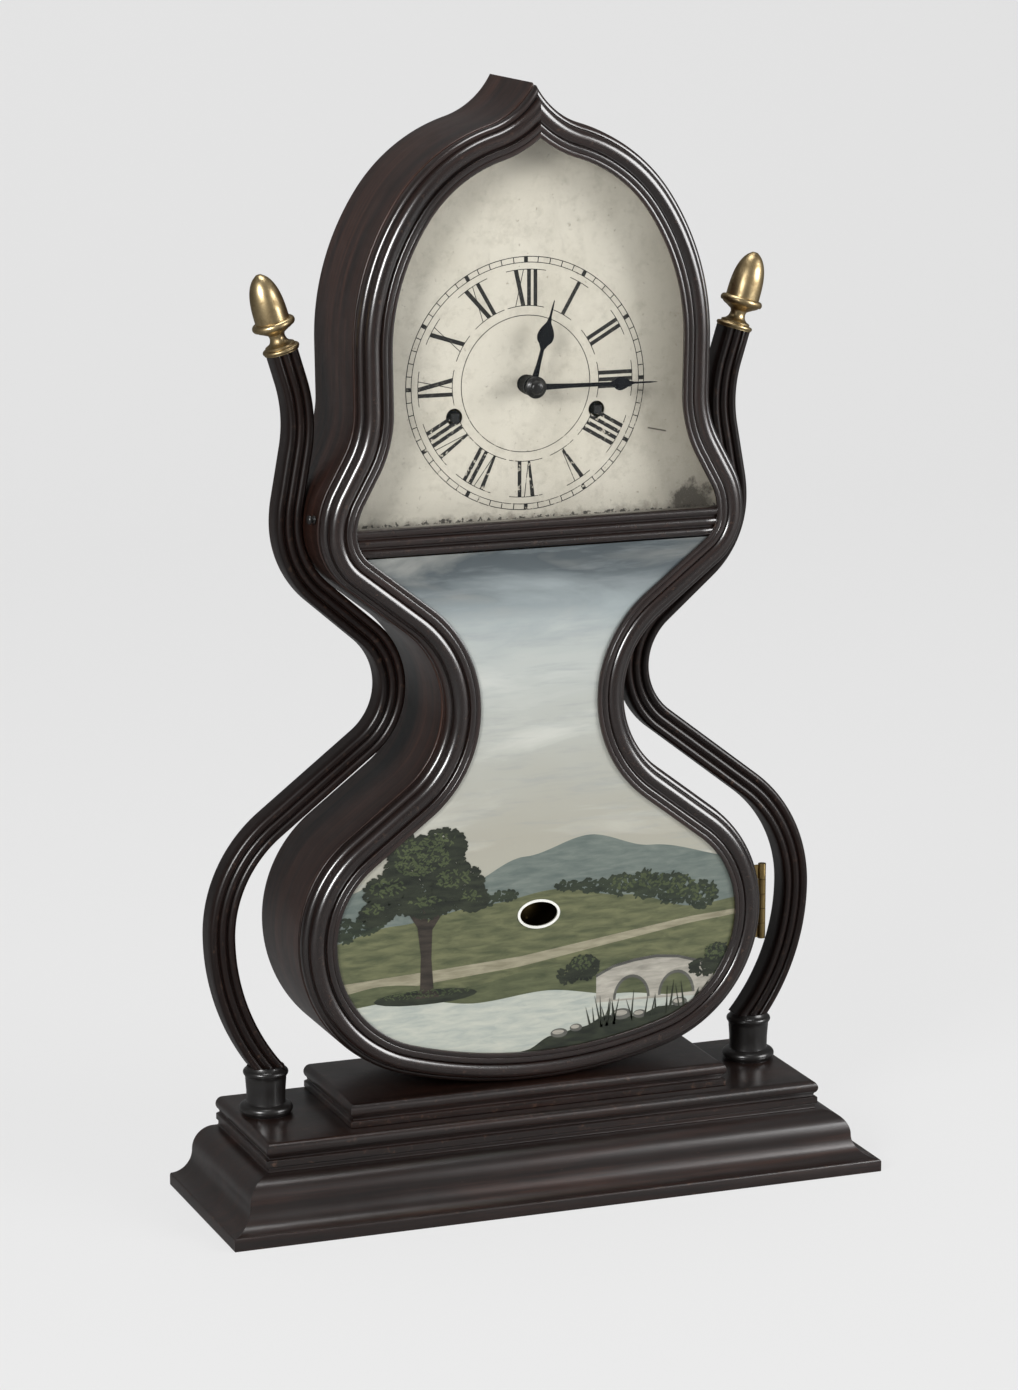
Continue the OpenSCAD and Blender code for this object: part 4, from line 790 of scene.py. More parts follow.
DARK, MID, LIGHT = (0.0045, 0.0019, 0.0013), (0.013, 0.0048, 0.0031), (0.03, 0.011, 0.0062)
WORN = (0.085, 0.045, 0.026)
LOOKS = {
    # The band's mid and light tones are lighter than the door's and the base's rosewood: painted sheen for
    # the pale reflection along the case's side.
    "case": Wood("rosewood band with painted sheen", DARK, (0.031, 0.0115, 0.0072), (0.056, 0.021, 0.012), WORN, 0.7, 0.42,
                 wear=0.4),
    "door": Wood("rosewood door moulding", DARK, MID, (0.03, 0.011, 0.0065), WORN, 1.0, coat_rough=0.22,
                 coat_ior=1.8),
    "base": Wood("rosewood base, grain across", DARK, MID, LIGHT, WORN, 0.9, coat_ior=1.75,
                 along_uv=False, wear=0.7),
    "base_side": Wood("rosewood base, grain from front to back", DARK, MID, LIGHT, WORN, 0.9,
                      coat_ior=1.75, along_uv=False, turn=(0, 0, QUARTER), wear=0.8),
    "arm": Wood("dark stained arm", (0.004, 0.0018, 0.0013), (0.010, 0.004, 0.0028),
                (0.018, 0.007, 0.0045), WORN, 0.35, 0.36, 0.16),
    "pine": Wood("bare aged pine", (0.16, 0.095, 0.05), (0.27, 0.17, 0.095), (0.36, 0.24, 0.14),
                 (0.4, 0.3, 0.2), 0.0, 0.7, 0.16, along_uv=False, turn=(0, QUARTER, 0), wear=0.3),
    "black": Enamel("ebonised wood", (0.010, 0.009, 0.0085), 0.34, 0.5),
    "iron": Enamel("black cast iron", (0.014, 0.014, 0.014), 0.5, 0.1),
    # The collet's matt black stands partly for the shade in the dial's centre hole round the hand pipe.
    "collet": Enamel("black collet with painted shade", (0.007, 0.007, 0.007), 0.65, 0.0, 0.15),
    "gilt": Metal("aged gilding", (0.58, 0.45, 0.25), (0.20, 0.135, 0.065), 0.34, 0.75, 170),
    "brass": Metal("aged brass", (0.40, 0.29, 0.12), (0.17, 0.11, 0.045), 0.34, 0.7, 90),
    "steel": Metal("dull steel", (0.32, 0.32, 0.33), (0.10, 0.085, 0.075), 0.38, 0.6, 110),
    "blued": Metal("blued hands", (0.012, 0.013, 0.018), (0.006, 0.006, 0.006), 0.3, 0.5, 200, 0.6),
    "ink": DialInk(),
    "pane": Pane(),
    "dial": DialPaint(),
    "sky": SkyPaint(),
    "hill": LandPaint("hill", (0.085, 0.11, 0.10), (0.14, 0.165, 0.145)),
    "tree": LandPaint("tree", (0.012, 0.018, 0.011), (0.03, 0.04, 0.022)),
    "leaf": LandPaint("leaf", (0.03, 0.042, 0.017), (0.065, 0.082, 0.034)),
    "field": LandPaint("field", (0.055, 0.065, 0.03), (0.125, 0.13, 0.062)),
    "lane": LandPaint("lane", (0.17, 0.155, 0.10), (0.28, 0.26, 0.18)),
    "meadow": LandPaint("meadow", (0.045, 0.055, 0.025), (0.095, 0.105, 0.05)),
    "water": LandPaint("water", (0.30, 0.33, 0.30), (0.42, 0.43, 0.37)),
    "stone": LandPaint("stone", (0.20, 0.19, 0.16), (0.36, 0.34, 0.29)),
    "stone_dark": LandPaint("stone dark", (0.05, 0.05, 0.045), (0.10, 0.10, 0.085)),
    "bark": LandPaint("bark", (0.015, 0.012, 0.009), (0.045, 0.035, 0.026)),
    "dark": LandPaint("dark", (0.008, 0.011, 0.007), (0.026, 0.032, 0.018)),
    "white": LandPaint("white", (0.62, 0.62, 0.58), (0.74, 0.74, 0.70)),
}


@dataclass
class Part:
    """A part of the clock, which dresses its pieces in the clock's finishes."""

    finishes: dict[str, Material]

    def settle(self, piece: Piece, look: str, body: str, slot: str, *nodes: str) -> None:
        """Dresses a piece and sets it on its body.

        Args:
            piece: The finished object.
            look: Word for its finish.
            body: The body it rides on.
            slot: The record's material slot; not used.
            nodes: Nodes of the model it stands for.
        """
        piece.data.materials.clear()
        piece.data.materials.append(self.finishes[look])
        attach(piece, body)
        if nodes:
            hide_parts(*nodes)
        LOG.info("%s on %s, %d faces", piece.name, body, len(piece.data.polygons))

    def keep(self, *rows: tuple[str, str, str, str]) -> None:
        """Dresses copies of the model's own nodes, from rows of node, finish, body and slot."""
        for node, look, body, slot in rows:
            self.settle(copy_of(node), look, body, slot, node)


@dataclass
class Base(Part):
    """The stepped base: three mitred mouldings, the platform and the plinth."""

    half: float = 189.5
    flare: float = 27.0
    front: float = -60.0
    rear: float = 60.0
    thick: float = 16.0
    height: float = 35.0
    slab: float = 13.0
    plinth_half: float = 111.0
    plinth_front: float = -22.0

    def moulding_profile(self) -> list[Triple]:
        """Returns the moulding's (distance out, height, arris) points."""
        r, e, z, lip, fillet, band = 12.5, self.flare - 0.5, 7.0, 6, 32, -1.5
        return rounded([(-self.thick, 0), (self.flare, 0), (self.flare, lip)]
                       + arc((e, z + r), r, 270, 180, 16) + arc((e - 2 * r, z + r), r, 0, 90, 16)
                       + [(band, fillet), (band, self.height), (-self.thick, self.height)], 0.7)

    def build_mouldings(self) -> None:
        """Builds the front moulding and the two sides, mitred at the corners."""
        profile = self.moulding_profile()
        marks = [p[2] for p in profile]
        inner = self.half - self.flare
        wide, deep = 24, 12
        front = [[Vector(((2 * k / wide - 1) * (inner + out), self.front + self.flare - out, z))
                  for out, z, _ in profile] for k in range(wide + 1)]
        piece = Skin("base_front", front, marks).build()
        self.settle(piece, "base", "case", "rosewood", "base_front_moulding")
        for side, word in ((1, "right"), (-1, "left")):
            rings = [[Vector((side * (inner + out),
                              (self.front + self.flare - out) * (1 - k / deep) + self.rear * k / deep, z))
                      for out, z, _ in profile] for k in range(deep + 1)]
            piece = Skin(f"base_{word}", rings, marks).build()
            self.settle(piece, "base_side", "case", "rosewood", f"base_{word}_moulding")

    def build_slab(self, name: str, half: float, front: float, z: float, node: str) -> None:
        """Builds one slab with a band, a groove and a rounded nose on three sides.

        Args:
            name: Name of the piece.
            half: Half its width.
            front: Depth of its front edge.
            z: Height of its underside.
            node: The node it stands for.
        """
        h, r = self.slab, 0.3 * self.slab
        edge = [(0.7, 0.0), (0.3, 0.4), (0.3, 0.27 * h), (0.7, 0.3 * h), (2.1, 0.33 * h), (2.2, 0.36 * h)]
        edge += arc((r, h - r), r, 235, 90, 14)
        marks = [1.0, 1.0, 1.0, 0.6] + [0.0] * 8 + [0.5] * 9
        bm = bmesh.new()
        layer = bm.verts.layers.float.new("arris")
        grid = []
        for (inset, up), mark in zip(edge, marks):
            x, y = half - inset, front + inset
            corners = [(-x, y), (x, y), (x, self.rear), (-x, self.rear), (-x, y)]
            loop = corners[:1]
            for a, b, steps in zip(corners, corners[1:], (24, 12, 24, 12)):
                loop += [(a[0] + (b[0] - a[0]) * k / steps, a[1] + (b[1] - a[1]) * k / steps)
                         for k in range(1, steps + 1)]
            row = [bm.verts.new(Vector((*p, z + up)) * MM) for p in loop[:-1]]
            for v in row:
                v[layer] = mark
            grid.append(row)
        for low, high in zip(grid, grid[1:]):
            for k in range(len(low)):
                j = (k + 1) % len(low)
                bm.faces.new([low[k], low[j], high[j], high[k]])
        bm.faces.new(grid[0])
        bm.faces.new(grid[-1])
        self.settle(finish_mesh(name, bm, SMOOTH_PLATE), "base", "case", "rosewood", node)

    def build(self) -> None:
        """Builds the whole base."""
        self.build_mouldings()
        self.build_slab("platform", self.half - self.flare, self.front + self.flare, self.height,
                        "base_platform")
        self.build_slab("plinth", self.plinth_half, self.plinth_front, PLATFORM_TOP, "case_plinth")
        self.keep(("base_back_rail", "pine", "case", "pine"), ("base_screws", "steel", "case", "steel"))


@dataclass
class Case(Part):
    """The bent bands, the back board and what hangs on them."""

    front: float = -7.0
    back: float = 58.0
    thick: float = 9.0

    def build(self) -> None:
        """Builds the two laminated halves, which meet at the tip and under the bulb, and the rest."""
        profile = rounded([(0, self.front), (self.thick, self.front), (self.thick, self.back),
                           (0, self.back)], 0.8)
        for word, _, piece in both_sides("band", swept(CASE, profile), profile):
            self.settle(piece, "case", "case", "rosewood", f"case_band_{word}")
        pine = ("back_board", "movement_blocks", "dial_posts")
        self.keep(*((node, "pine", "case", "pine") for node in pine),
                  ("case_hinge_leaf", "brass", "case", "brass"), ("gong_base", "iron", "case", "cast"))


@dataclass
class Arms(Part):
    """The two bent, reeded arms with their collars and acorn finials."""

    width: float = 14.6
    depth: float = 15.5
    plane: float = 24.0
    foot: float = 144.5
    lean: float = 17.0
    top_run: float = 16.5

    def bends(self) -> list[Bend]:
        """Returns the bends of the arm's centre line, from the collar up."""
        bulb_x = 170.0
        bulb_z = PLATFORM_TOP + 102
        waist_z = bulb_z + 133
        shoulder_x, shoulder_z = SHOULDER_X + 0.3 + self.width / 2, waist_z + 91.5
        rise = bulb_z - COLLAR_TOP
        foot_lean = 2 * math.degrees(math.atan((bulb_x - self.foot) / rise))
        foot = beside(bulb_x, bulb_z, rise / math.sin(math.radians(foot_lean)), 1)
        bulb = beside(bulb_x, bulb_z, 76, 1)
        waist = beside(71.5, waist_z, 40, -1)
        under = beside(shoulder_x, shoulder_z, 50, 1)
        over = beside(shoulder_x, shoulder_z, 70, 1)
        neck = beside(122.3, shoulder_z + 54, 80, -1)
        turns = [tangent(bulb, waist), tangent(waist, under), tangent(over, neck)]
        return [Bend(*foot, -foot_lean, 0, Cut.COLLAR), Bend(*bulb, 0, turns[0]),
                Bend(*waist, turns[0], turns[1]), Bend(*under, turns[1], 0), Bend(*over, 0, turns[2]),
                Bend(*neck, turns[2], -self.lean)]

    def profile(self) -> list[Triple]:
        """Returns the arm's section: three reeds across the front."""
        half, w = self.width / 2, self.width / 3
        y0, y1 = self.plane - self.depth / 2, self.plane + self.depth / 2
        edge, cheek = 0.8, 6
        out: list[Triple] = [(-half, y1 - edge, 0.0), (-half, y0 + cheek, 0.0)]
        for i in range(3):
            reed = arc((-half + w * (i + 0.5), y0 + w / 2 - 0.4), w / 2, 195, 345, 10)
            out += [(x, y, 0.8 if 3 <= k <= 7 else 0.0) for k, (x, y) in enumerate(reed)]
        return out + [(half, y0 + cheek, 0.0), (half, y1 - edge, 0.0), (half - edge, y1, 1.0),
                      (-half + edge, y1, 1.0)]

    def build(self) -> None:
        """Builds both arms and their ends."""
        bends = self.bends()
        profile = self.profile()
        rings = swept(bends, profile)
        lean = math.radians(self.lean)
        way = Vector((math.sin(lean), 0, math.cos(lean)))
        last = rings[-1]
        rings += [[p + way * self.top_run * k / 4 for p in last] for k in range(1, 5)]
        end = bends[-1].at(0, 1)
        tip = (end[0] + way.x * self.top_run, end[1] + way.z * self.top_run)
        for word, side, piece in both_sides("arm", rings, profile):
            foot = Matrix.Translation((side * self.foot, self.plane, PLATFORM_TOP))
            top = (Matrix.Translation((side * tip[0], self.plane, tip[1]))
                   @ Matrix.Rotation(side * lean, 4, "Y"))
            self.settle(piece, "arm", "case", "arm_wood", f"{word}_arm")
            self.settle(lathe(f"collar_{word}", self.collar(), foot), "black", "case", "ebonised",
                        f"{word}_arm_collar")
            self.settle(lathe(f"finial_{word}", self.finial(), top), "gilt", "case", "gilt", f"{word}_finial")

    def collar(self) -> list[Point]:
        """Returns a collar's profile: a torus foot, a waisted drum and a beaded top."""
        return ([(0, 0), (13.2, 0)] + arc((12.2, 3), 2.6, -60, 75, 12)
                + [(10.9, 6.2), (10.7, 7), (10.8, 13), (11.3, 19.6), (11.3, 20.6)]
                + arc((10.6, 23.4), 1.9, -50, 60, 10) + [(11.1, 25.4), (10.6, 26.2), (10.2, 27), (0, 27)])

    def finial(self) -> list[Point]:
        """Returns an acorn's profile: stepped foot, neck, cup and blunt nut."""
        nut_r, nut_z, nut_h, steps = 9.3, 17.4, 25.8, 30
        nut = [(nut_r * (1 - (t / steps) ** 2.8) ** 0.55, nut_z + nut_h * t / steps) for t in range(steps)]
        return ([(0, 0), (9.5, 0)] + arc((8.9, 1.5), 1.2, -60, 80, 8)
                + [(8.2, 2.85), (8.0, 3.1), (8.0, 3.9), (7.7, 4.1), (5.9, 4.9), (4.8, 6.1), (4.3, 7.6),
                   (4.2, 8.8), (4.6, 10.1)]
                + arc((6.2, 17.2), 5.4, -72, -25, 8) + arc((9.6, 15.4), 2.15, -50, 84, 14)
                + [(9.4, nut_z)] + nut + [(1.5, 43.1), (0.7, 43.18), (0, 43.2)])


@dataclass
class Door(Part):
    """The moulded door frame, its cross rail, the pane over the dial, the hinge leaf and the catch."""

    front: float = -19.0
    back: float = -8.4
    width: float = 18.4
    rebate: float = 14.8
    rebate_deep: float = 1.3
    rail_h: float = 16.0
    catch_z: float = 381.0
    pocket: Triple = (4.2, 4.5, 9.0)

    def profile(self) -> list[Triple]:
        """Returns the frame's (distance in, depth, arris) points: quarter round, rib and flat band."""
        rib, stretch = (8.0, 3.1), 1.34
        shape = ([(0.5, self.back - self.front), (0.5, 7.8)] + arc((3.3, 7.4), 2.7, 180, 262, 9)
                 + [(3.4, 5.2), (3.7, 5.2)]
                 + [(rib[0] + stretch * (x - rib[0]), y) for x, y in arc(rib, 3.1, 192, 342, 24)]
                 + [(12.05, 2.3), (12.3, 2.3), (12.5, 0.55), (12.8, 0.2), (13.2, 0.1), (15.3, 0.1),
                    (15.5, 0.2), (15.65, 0.5), (15.8, 0.2), (16.0, 0.1), (17.6, 0.1), (18.1, 0.25),
                    (self.width, 0.7), (self.width, self.rebate_deep), (self.rebate, self.rebate_deep),
                    (self.rebate, self.back - self.front)])
        rubbed = ((6.4, 10.2, 1.0), (12.4, 13.1, 1.0), (18.0, 19.0, 2.0))
        return [(x, self.front + y, 0.85 if any(a < x < b and y < deep for a, b, deep in rubbed) else 0.0)
                for x, y in shape]

    def pocketed(self, side: Piece) -> Piece:
        """Returns the left frame with the pocket in its back, which takes the catch's blade."""
        catch = copy_of("door_catch")
        blade = max(v.co.x for v in catch.data.vertices) / MM - 0.8
        bpy.data.objects.remove(catch)
        wide, deep, reach = self.pocket
        middle = Vector((blade, self.back + (1 - deep) / 2, self.catch_z)) * MM
        size = Matrix.Diagonal((wide * MM, (deep + 1) * MM, 2 * reach * MM, 1))
        bm = bmesh.new()
        bmesh.ops.create_cube(bm, size=1, matrix=Matrix.Translation(middle) @ size)
        cutter = finish_mesh("pocket_cutter", bm)
        cut = side.modifiers.new("pocket", "BOOLEAN")
        cut.operation = "DIFFERENCE"
        cut.solver = "EXACT"
        cut.object = cutter
        mesh = evaluated(side)
        name = side.name
        bpy.data.objects.remove(side)
        bpy.data.objects.remove(cutter)
        mesh.set_sharp_from_angle(angle=math.radians(SMOOTH))
        return linked(name, mesh)

    def build_rail(self) -> None:
        """Builds the reeded rail between the panes; its ends follow the frame."""
        h = self.rail_h / 3
        y = self.front + 2.2
        outline = []
        for i in range(3):
            outline += arc((y + 0.9, RAIL_Z + h * (i + 0.5)), h * 0.46, 256, 104, 12)
        outline += [(self.back - 5, RAIL_Z + self.rail_h), (self.back - 5, RAIL_Z)]
        lip = self.front + self.rebate_deep + 0.05
        ends = [half_width(self.width if p[0] < lip else self.rebate + 0.4, p[1]) for p in outline]
        steps = 30
        rings = [[Vector(((2 * k / steps - 1) * end, *p)) for p, end in zip(outline, ends)]
                 for k in range(steps + 1)]
        marks = [0.6 if p[0] < y - 1.2 else 0.0 for p in outline]
        self.settle(Skin("door_rail", rings, marks).build(), "door", "door", "rosewood", "door_cross_rail")

    def build(self) -> None:
        """Builds the two halves of the frame, mitred on the middle plane, and what they carry."""
        profile = self.profile()
        for word, side, piece in both_sides("door", swept(CASE, profile, 1.2), profile):
            if side < 0:
                piece = self.pocketed(piece)
            self.settle(piece, "door", "door", "rosewood", f"door_frame_{word}")
        self.build_rail()
        above_tip = 700
        top = opening(RAIL_Z + self.rail_h + RAIL_GAP, above_tip)
        pane = plate("pane_over_dial", top, self.front + 1.45, self.front + 2.65, bevel=0.15)
        self.settle(pane, "pane", "door", "pane", "dial_glass")
        self.keep(("door_catch", "black", "catch", "ebonised"), ("door_hinge_leaf", "brass", "door", "brass"))


class Growth:
    """A geometry tree with named inputs, run once for its mesh."""

    def __init__(self, name: str, **kinds: str) -> None:
        """Starts the tree; each keyword names an input and gives its kind, such as Float."""
        self.name = name
        self.tree = bpy.data.node_groups.new(name, "GeometryNodeTree")
        face = self.tree.interface
        face.new_socket("Geometry", in_out="OUTPUT", socket_type="NodeSocketGeometry")
        for word, kind in kinds.items():
            face.new_socket(word, in_out="INPUT", socket_type="NodeSocket" + kind)
        self.given = self.tree.nodes.new("NodeGroupInput").outputs

    def node(self, kind: str, **inputs: object) -> bpy.types.Node:
        """Adds a node, and links or sets the inputs that are named."""
        node = self.tree.nodes.new(kind)
        for word, value in inputs.items():
            if isinstance(value, Socket):
                self.tree.links.new(value, node.inputs[word])
            else:
                node.inputs[word].default_value = value
        return node

    def draw(self, low: Triple, high: Triple) -> Socket:
        """Returns a random vector between two, by the tree's seed."""
        node = self.node("FunctionNodeRandomValue", Seed=self.given["Seed"])
        node.data_type = "FLOAT_VECTOR"
        node.inputs[0].default_value = low
        node.inputs[1].default_value = high
        return node.outputs[0]

    def run(self, placed: Socket, material: Material, place: Matrix, region: bpy.types.Mesh | None = None,
            **values: object) -> Piece:
        """Ends the tree, runs it and keeps its result as a plain mesh.

        Args:
            placed: The copies that the tree has set.
            material: Their finish.
            place: Where the result goes, in metres.
            region: The mesh that the tree works on, if it needs one.
            values: Values for the tree's named inputs.

        Returns:
            A new object at the origin.
        """
        real = self.node("GeometryNodeRealizeInstances", Geometry=placed)
        paint = self.node("GeometryNodeSetMaterial", Geometry=real.outputs[0], Material=material)
        self.node("NodeGroupOutput", Geometry=paint.outputs[0])
        seed = linked(self.name + "_seed", region or bpy.data.meshes.new(self.name + "_seed"))
        modifier = seed.modifiers.new(self.name, "NODES")
        modifier.node_group = self.tree
        for item in self.tree.interface.items_tree:
            if item.name in values:
                modifier[item.identifier] = values[item.name]
        mesh = evaluated(seed)
        mesh.transform(place)
        mesh.name = self.name
        seed.modifiers.remove(modifier)
        bpy.data.objects.remove(seed)
        return linked(self.name, mesh)


@dataclass
class Dial(Part):
    """The painted plate with its rings, minute track and Roman numerals."""

    face: float = 3.1
    paint: float = 0.06
    track: float = 68.5
    inner_share: float = 0.955
    hours_share: float = 0.54
    feet_share: float = 0.615
    heads_share: float = 0.90
    thick: float = 2.15
    thin: float = 0.42
    hairline: float = 0.4
    hand_hole: float = 5.0
    winding_hole: float = 4.6
    winding_at: Point = (41.0, -16.0)

    def ring(self, name: str, radius: float, width: float) -> Piece:
        """Returns a thin painted ring."""
        outer, inner = (circle((0, DIAL_Z), radius + side * width / 2, 120) for side in (1, -1))
        return plate(name, outer, self.face, self.face + self.paint, [inner])

    def stroke(self, a: Point, b: Point, wide_a: float, wide_b: float) -> list[Point]:
        """Returns the corners of a straight stroke between two points."""
        turn = heading(a, b) + 90
        return [polar(a, wide_a / 2, turn), polar(b, wide_b / 2, turn),
                polar(b, -wide_b / 2, turn), polar(a, -wide_a / 2, turn)]

    def letter(self, kind: str, at: float, low: float, high: float) -> tuple[list[list[Point]], float]:
        """Returns one letter's strokes and its width, drawn upright.

        Args:
            kind: I, V or X.
            at: Where the letter starts.
            low: Height of its foot.
            high: Height of its head.

        Returns:
            The strokes as corner lists, and the width.
        """
        thick, thin = self.thick, self.thin
        if kind == "I":
            return [self.stroke((at + 1.85, low), (at + 1.85, high), thick, thick)], 3.7
        foot, hair, taper = (3.6, (6.2, 4.0), thick * 0.6) if kind == "V" else (5.8, (5.9, 1.4), thick + 0.2)
        return [self.stroke((at + 1.5, high), (at + foot, low), thick + 0.2, taper),
                self.stroke((at + hair[0], high), (at + hair[1], low), thin, thin)], 7.2

    def numeral(self, word: str, hour: int) -> list[Piece]:
        """Returns the strokes of one hour's numeral, its feet to the middle, and its two hairlines."""
        low, high = self.feet_share * self.track, self.heads_share * self.track
        width = sum(self.letter(kind, 0, low, high)[1] for kind in word)
        at = -width / 2
        shapes = []
        for kind in word:
            strokes, advance = self.letter(kind, at, low, high)
            shapes += strokes
            at += advance
        for z in (low, high):
            reach = width / 2 + min(4.2, (math.radians(30) * z - width) / 2 - 0.5)
            span = [reach * (k / 6 - 1) for k in range(13)]
            shapes.append([(x, z - self.hairline / 2) for x in span]
                          + [(x, z + self.hairline / 2) for x in reversed(span)])
        pieces = []
        for i, corners in enumerate(shapes):
            bent = [polar((0, DIAL_Z), z, 90 - hour * 30 - math.degrees(x / z)) for x, z in corners]
            pieces.append(plate(f"stroke_{hour}_{i}", bent, self.face + 0.004 * i, self.face + self.paint))
        return pieces

    def build_plate(self) -> None:
        """Builds the plate with its three holes."""
        inset = 9.6
        half = [p for p in path(CASE, inset) if p[1] > DIAL_FOOT]
        outline = mirrored_outline([(half_width(inset, DIAL_FOOT), DIAL_FOOT)] + half)
        across, up = self.winding_at
        holes = [circle((0, DIAL_Z), self.hand_hole)]
        holes += [circle((side * across, DIAL_Z + up), self.winding_hole) for side in (1, -1)]
        piece = plate("dial", outline, self.face + self.paint, self.face + 0.8, holes, bevel=0.08)
        self.settle(piece, "dial", "case", "dial_paint", "dial_plate")

    def marks(self, name: str, count: int, size: Triple) -> Piece:
        """Returns small blocks set round the minute track by a geometry tree."""
        g = Growth(name, Count="Int", Radius="Float", Size="Vector")
        ring = g.node("GeometryNodeMeshCircle", Vertices=g.given["Count"], Radius=g.given["Radius"])
        block = g.node("GeometryNodeMeshCube", Size=g.given["Size"])
        where = g.node("GeometryNodeInputPosition")
        turn = g.node("FunctionNodeAlignRotationToVector", Vector=where.outputs[0])
        turn.axis = "X"
        turn.pivot_axis = "Z"
        placed = g.node("GeometryNodeInstanceOnPoints", Points=ring.outputs["Mesh"],
                        Instance=block.outputs["Mesh"], Rotation=turn.outputs[0])
        place = Matrix.Translation((0, (self.face + 0.03) * MM, DIAL_Z * MM)) @ FACING
        return g.run(placed.outputs[0], self.finishes["ink"], place, Count=count,
                     Radius=(self.track - size[0] / 2) * MM, Size=tuple(v * MM for v in size))

    def build(self) -> None:
        """Builds the plate, the rings, the minute track and the numerals."""
        self.build_plate()
        inner = self.inner_share * self.track
        wide = self.track - inner
        track = [self.ring("ring_outer", self.track, 0.45), self.ring("ring_inner", inner, self.hairline),
                 self.ring("ring_hours", self.hours_share * self.track, self.hairline),
                 self.marks("minute_strokes", count=60, size=(wide, 0.5, 0.05)),
                 self.marks("five_minute_marks", count=12, size=(wide, 2.2, 0.06))]
        self.settle(joined("minute_track", track), "ink", "case", "dial_paint")
        words = ("XII", "I", "II", "III", "IIII", "V", "VI", "VII", "VIII", "IX", "X", "XI")
        strokes = [piece for hour, word in enumerate(words) for piece in self.numeral(word, hour)]
        self.settle(joined("numerals", strokes), "ink", "case", "dial_paint")


@dataclass
class Hands(Part):
    """The blued hands and the turned boss that holds them."""

    hour_y: float = -8.0
    minute_y: float = -11.4
    hour_angle: float = 15.0
    minute_angle: float = 90.5

    def shape(self, length: float, pear_at: float, pear: float, eye: float, angle: float) -> list[Point]:
        """Returns one hand's outline: a tapered stem, a pear and a fine point.

        Args:
            length: From the centre to the point.
            pear_at: Distance of the pear's middle.
            pear: Half its width.
            eye: Radius of the eye round the pipe.
            angle: Degrees past twelve.

        Returns:
            The corners, in the dial's plane.
        """
        right = [(1.7, eye * 0.9), (1.15, pear_at * 0.42), (1.0, pear_at - 2.1 * pear)]
        for k in range(1, 16):
            t = k / 16
            wide = math.sin(math.pi * t ** 0.72) ** 0.9
            right.append((pear * wide + 0.7 * (1 - t) + 0.6 * t, pear_at + pear * (3.3 * t - 1.6)))
        right += [(0.55, pear_at + pear * 2.4), (0.45, length - 4), (0.1, length)]
        ring = [polar((0, 0), eye, a) for a in range(100, 441, 10)]
        whole = right + [(-x, z) for x, z in reversed(right)] + ring
        return [polar((0, DIAL_Z), distance((0, 0), p), heading((0, 0), p) - angle) for p in whole]

    def build(self) -> None:
        """Builds the hands and the boss."""
        hour = self.shape(length=47.3, pear_at=28.8, pear=4.1, eye=5.4, angle=self.hour_angle)
        # The collet is a black sleeve behind the hour hand; its matt black is partly painted shade of the
        # dial's centre hole.
        collet = circle((0, DIAL_Z), 5.35, 72)
        minute = self.shape(length=70.5, pear_at=50.0, pear=3.1, eye=4.5, angle=self.minute_angle)
        for name, outline, y, thick, hole, bevel, look, body, nodes in (
                ("hour_hand_piece", hour, self.hour_y + 0.05, 0.7, 3.3, 0.14, "blued", "hour_hand",
                 ["hour_hand"]),
                ("collet", collet, self.hour_y + 0.8, 6.55, 3.35, 0.3, "collet", "hour_hand", []),
                ("minute_hand_piece", minute, self.minute_y + 0.05, 0.7, 2.2, 0.14, "blued", "minute_hand",
                 ["minute_hand"])):
            piece = plate(name, outline, y, y + thick, [circle((0, DIAL_Z), hole)], bevel=bevel)
            self.settle(piece, look, body, "hand_blue", *nodes)
        profile = [(0, 0), (5.4, 0), (5.9, 0.4), (5.95, 0.9), (5.4, 1.7), (4.2, 2.2), (3.7, 2.6),
                   (3.5, 3.3), (2.9, 3.9), (1.8, 4.15), (0, 4.2)]
        place = Matrix.Translation((0, self.minute_y, DIAL_Z)) @ FACING
        self.settle(lathe("boss", profile, place, 48), "black", "minute_hand", "ebonised", "hand_boss")


@dataclass
class Dabs:
    """A geometry tree that scatters flat leaf-shaped dabs of paint over a region, by a fixed seed."""

    name: str
    size: float
    density: float
    seed: int
    narrow: float = 0.55

    def build(self, outlines: list[list[Point]], depth: float, material: Material) -> Piece:
        """Returns the dabs over some outlines at a depth, as one plain mesh."""
        bm = bmesh.new()
        for outline in outlines:
            corners = [bm.verts.new(Vector((p[0], depth, p[1])) * MM) for p in outline]
            for tri in tessellate_polygon([[Vector((p[0], 0, p[1])) for p in outline]]):
                bm.faces.new([corners[k] for k in tri])
        region = bpy.data.meshes.new(self.name + "_region")
        bm.to_mesh(region)
        bm.free()
        small, large, sway, nudge = 0.6, 1.3, 1.1, 0.03 * MM
        g = Growth(self.name, Region="Geometry", Density="Float", Size="Float", Seed="Int")
        spread = g.node("GeometryNodeDistributePointsOnFaces", Mesh=g.given["Region"],
                        Density=g.given["Density"], Seed=g.given["Seed"])
        leaf = g.node("GeometryNodeMeshCylinder", Vertices=8, Depth=0.05 * MM, Radius=g.given["Size"])
        apart = g.node("GeometryNodeSetPosition", Geometry=spread.outputs["Points"],
                       Offset=g.draw((0, -nudge, 0), (0, nudge, 0)))
        turned = g.draw((QUARTER, -sway, 0), (QUARTER, sway, 0))
        sized = g.draw((small, small * self.narrow, 1), (large, large * self.narrow, 1))
        placed = g.node("GeometryNodeInstanceOnPoints", Points=apart.outputs[0],
                        Instance=leaf.outputs["Mesh"], Rotation=turned, Scale=sized)
        return g.run(placed.outputs[0], material, Matrix.Identity(4), region,
                     Density=self.density / (MM * MM), Size=self.size * MM, Seed=self.seed)


